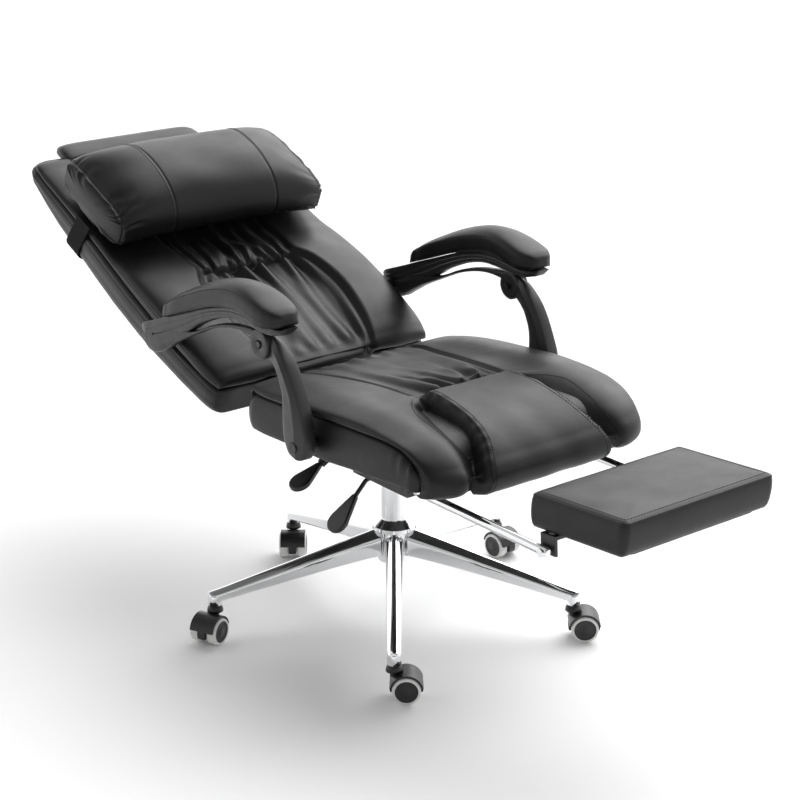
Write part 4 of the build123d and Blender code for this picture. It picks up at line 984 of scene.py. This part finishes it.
# Casters: a collar under each socket, and wheels with a black core in a pale tyre
tyre = [
    (-9.3, 20.3), (-9.4, 22.0), (-9.0, 23.6), (-7.8, 24.6), (-6.0, 25.0), (6.0, 25.0), (7.8, 24.6), (9.0, 23.6),
    (9.4, 22.0), (9.3, 20.3),
]
core = [
    (-9.0, 4.3), (-8.2, 6.0), (-7.9, 17.5), (-8.3, 19.0), (-9.0, 19.9), (-8.6, 20.6), (8.6, 20.6), (9.0, 19.9),
    (8.3, 19.0), (7.9, 17.5), (8.2, 6.0), (9.0, 4.3),
]
collar_stations = [
    (54.0, 8.0), (54.0, 15.0), (58.0, 14.6), (62.0, 13.2), (65.0, 11.6), (65.7, 10.6), (65.8, 6.2),
]
for k, name in enumerate(("front_right", "front_left", "left", "rear", "right")):
    heading = radians(first_leg + leg_pitch * k)
    x, y = caster_circle * sin(heading), -caster_circle * cos(heading)
    collar = upright_rings(x, y, collar_stations, 48)
    add_skin(f"caster_{name}_collar", collar, black_plastic, f"caster_{name}")
    wheels = [nodes[f"caster_{name}_wheel_{w}"] for w in "ab"]
    centres = []
    for wheel in wheels:
        co = np.empty(len(wheel.data.vertices) * 3)
        wheel.data.vertices.foreach_get("co", co)
        co = co.reshape(-1, 3) * 1000.0
        centres.append((co.min(0) + co.max(0)) / 2)
    axis = centres[1] - centres[0]
    axis /= np.linalg.norm(axis)
    forward = np.array([-axis[1], axis[0], 0.0])
    angle = full_turn(80)
    for letter, centre in zip("ab", centres):
        body = f"caster_{name}_wheel_{letter}"
        turned = lambda stations: np.array([
            [centre + axis * out + forward * radius * cos(a) + np.array([0, 0, radius * sin(a)]) for a in angle]
            for out, radius in stations
        ])
        rings = turned(tyre)
        rows = np.concatenate([rings, turned([(7.0, 20.3), (-7.0, 20.3)])])
        points, faces = skin(np.concatenate([rows, rows[:1]]), closed=False)
        owner = next(b for b, members in frame["record"]["behaviour"]["bodies"].items() if body in members)
        add_piece(f"caster_{name}_tyre_{letter}", points, faces, tyre_rubber, owner, (body,))
        add_skin(f"caster_{name}_core_{letter}", turned(core), black_plastic, owner)

# Finishes of the CAD pieces that stay in view
finishes = (
    (chrome, ("base_hub", "gas_tube", "footrest_rods", "footrest_pivots")),
    (steel, ("caster_stems", "piston_rod", "thrust_bearing", "hinge_pins")),
    (black_steel, ("gas_cylinder", "mechanism_housing", "footrest_guides", "footrest_bracket", "back_irons")),
    (black_steel, ("arm_pivot_left", "arm_pivot_right", "arm_seat_bolts", "arm_rear_bolts")),
    (black_steel, ("height_lever_rod", "recline_lever_rod")),
    (black_plastic, ("gas_bush", "height_lever_paddle", "recline_lever_paddle")),
    (board_cover, ("seat_board", "back_board", "footrest_board")),
    (boot_rubber, ("lever_boot",)),
)
finish_of = {name: finish for finish, names in finishes for name in names}
for name, node in nodes.items():
    finish = finish_of.get(name)
    if finish is None and name.startswith("caster_"):
        finish = steel if name.endswith("_axle") else black_plastic
    if finish is not None:
        node.data.materials.clear()
        node.data.materials.append(finish)

# Floor and light
floor_mesh = bpy.data.meshes.new("floor")
floor_mesh.from_pydata([(-30, -30, 0), (30, -30, 0), (30, 30, 0), (-30, 30, 0)], [], [(0, 1, 2, 3)])
floor = bpy.data.objects.new("floor", floor_mesh)
scene.collection.objects.link(floor)
floor_finish, tree, shader, place = start_material("floor")
add_tint(tree, shader, add_noise(tree, place, 0.8), (0.96, 0.96, 0.96), (0.98, 0.98, 0.98))
shader.inputs["Roughness"].default_value = 0.9
shader.inputs["Specular IOR Level"].default_value = 0.1
floor_mesh.materials.append(floor_finish)

# The studio is pale round about, brighter behind the chair, with one large soft box high on its left
world = bpy.data.worlds.new("studio")
world.use_nodes = True
tree = world.node_tree
place = tree.nodes.new("ShaderNodeTexCoord").outputs["Generated"]
split = tree.nodes.new("ShaderNodeSeparateXYZ")
tree.links.new(place, split.inputs["Vector"])
rise = tree.nodes.new("ShaderNodeValToRGB")
tree.links.new(split.outputs["Z"], rise.inputs["Fac"])
rise.color_ramp.interpolation = "EASE"
rise.color_ramp.elements[0].color = (0.45, 0.45, 0.45, 1.0)
rise.color_ramp.elements[1].color = (0.12, 0.12, 0.12, 1.0)
for position, level in ((0.1, 0.8), (0.3, 1.0), (0.45, 0.7), (0.6, 0.45), (0.8, 0.28)):
    rise.color_ramp.elements.new(position).color = (level, level, level, 1.0)


def add_facing(heading, low, high, start, stop):
    """A level that grows as the direction turns towards the heading."""
    node = tree.nodes.new("ShaderNodeVectorMath")
    node.operation = "DOT_PRODUCT"
    tree.links.new(place, node.inputs[0])
    node.inputs[1].default_value = heading
    return add_range(tree, node.outputs["Value"], low, high, start, stop)


def add_math(operation, a, b):
    node = tree.nodes.new("ShaderNodeMath")
    node.operation = operation
    tree.links.new(a, node.inputs[0])
    tree.links.new(b, node.inputs[1])
    return node.outputs["Value"]


round_about = add_math("MULTIPLY", rise.outputs["Color"], add_facing((0.70, 0.71, 0.0), 0.48, 2.2, -1.0, 1.0))
soft_box = add_facing((0.60, 0.20, 0.775), 0.0, 4.3, 0.80, 0.97)
tree.links.new(add_math("ADD", round_about, soft_box), tree.nodes["Background"].inputs["Strength"])
tree.nodes["Background"].inputs["Color"].default_value = (1.0, 1.0, 1.0, 1.0)
scene.world = world
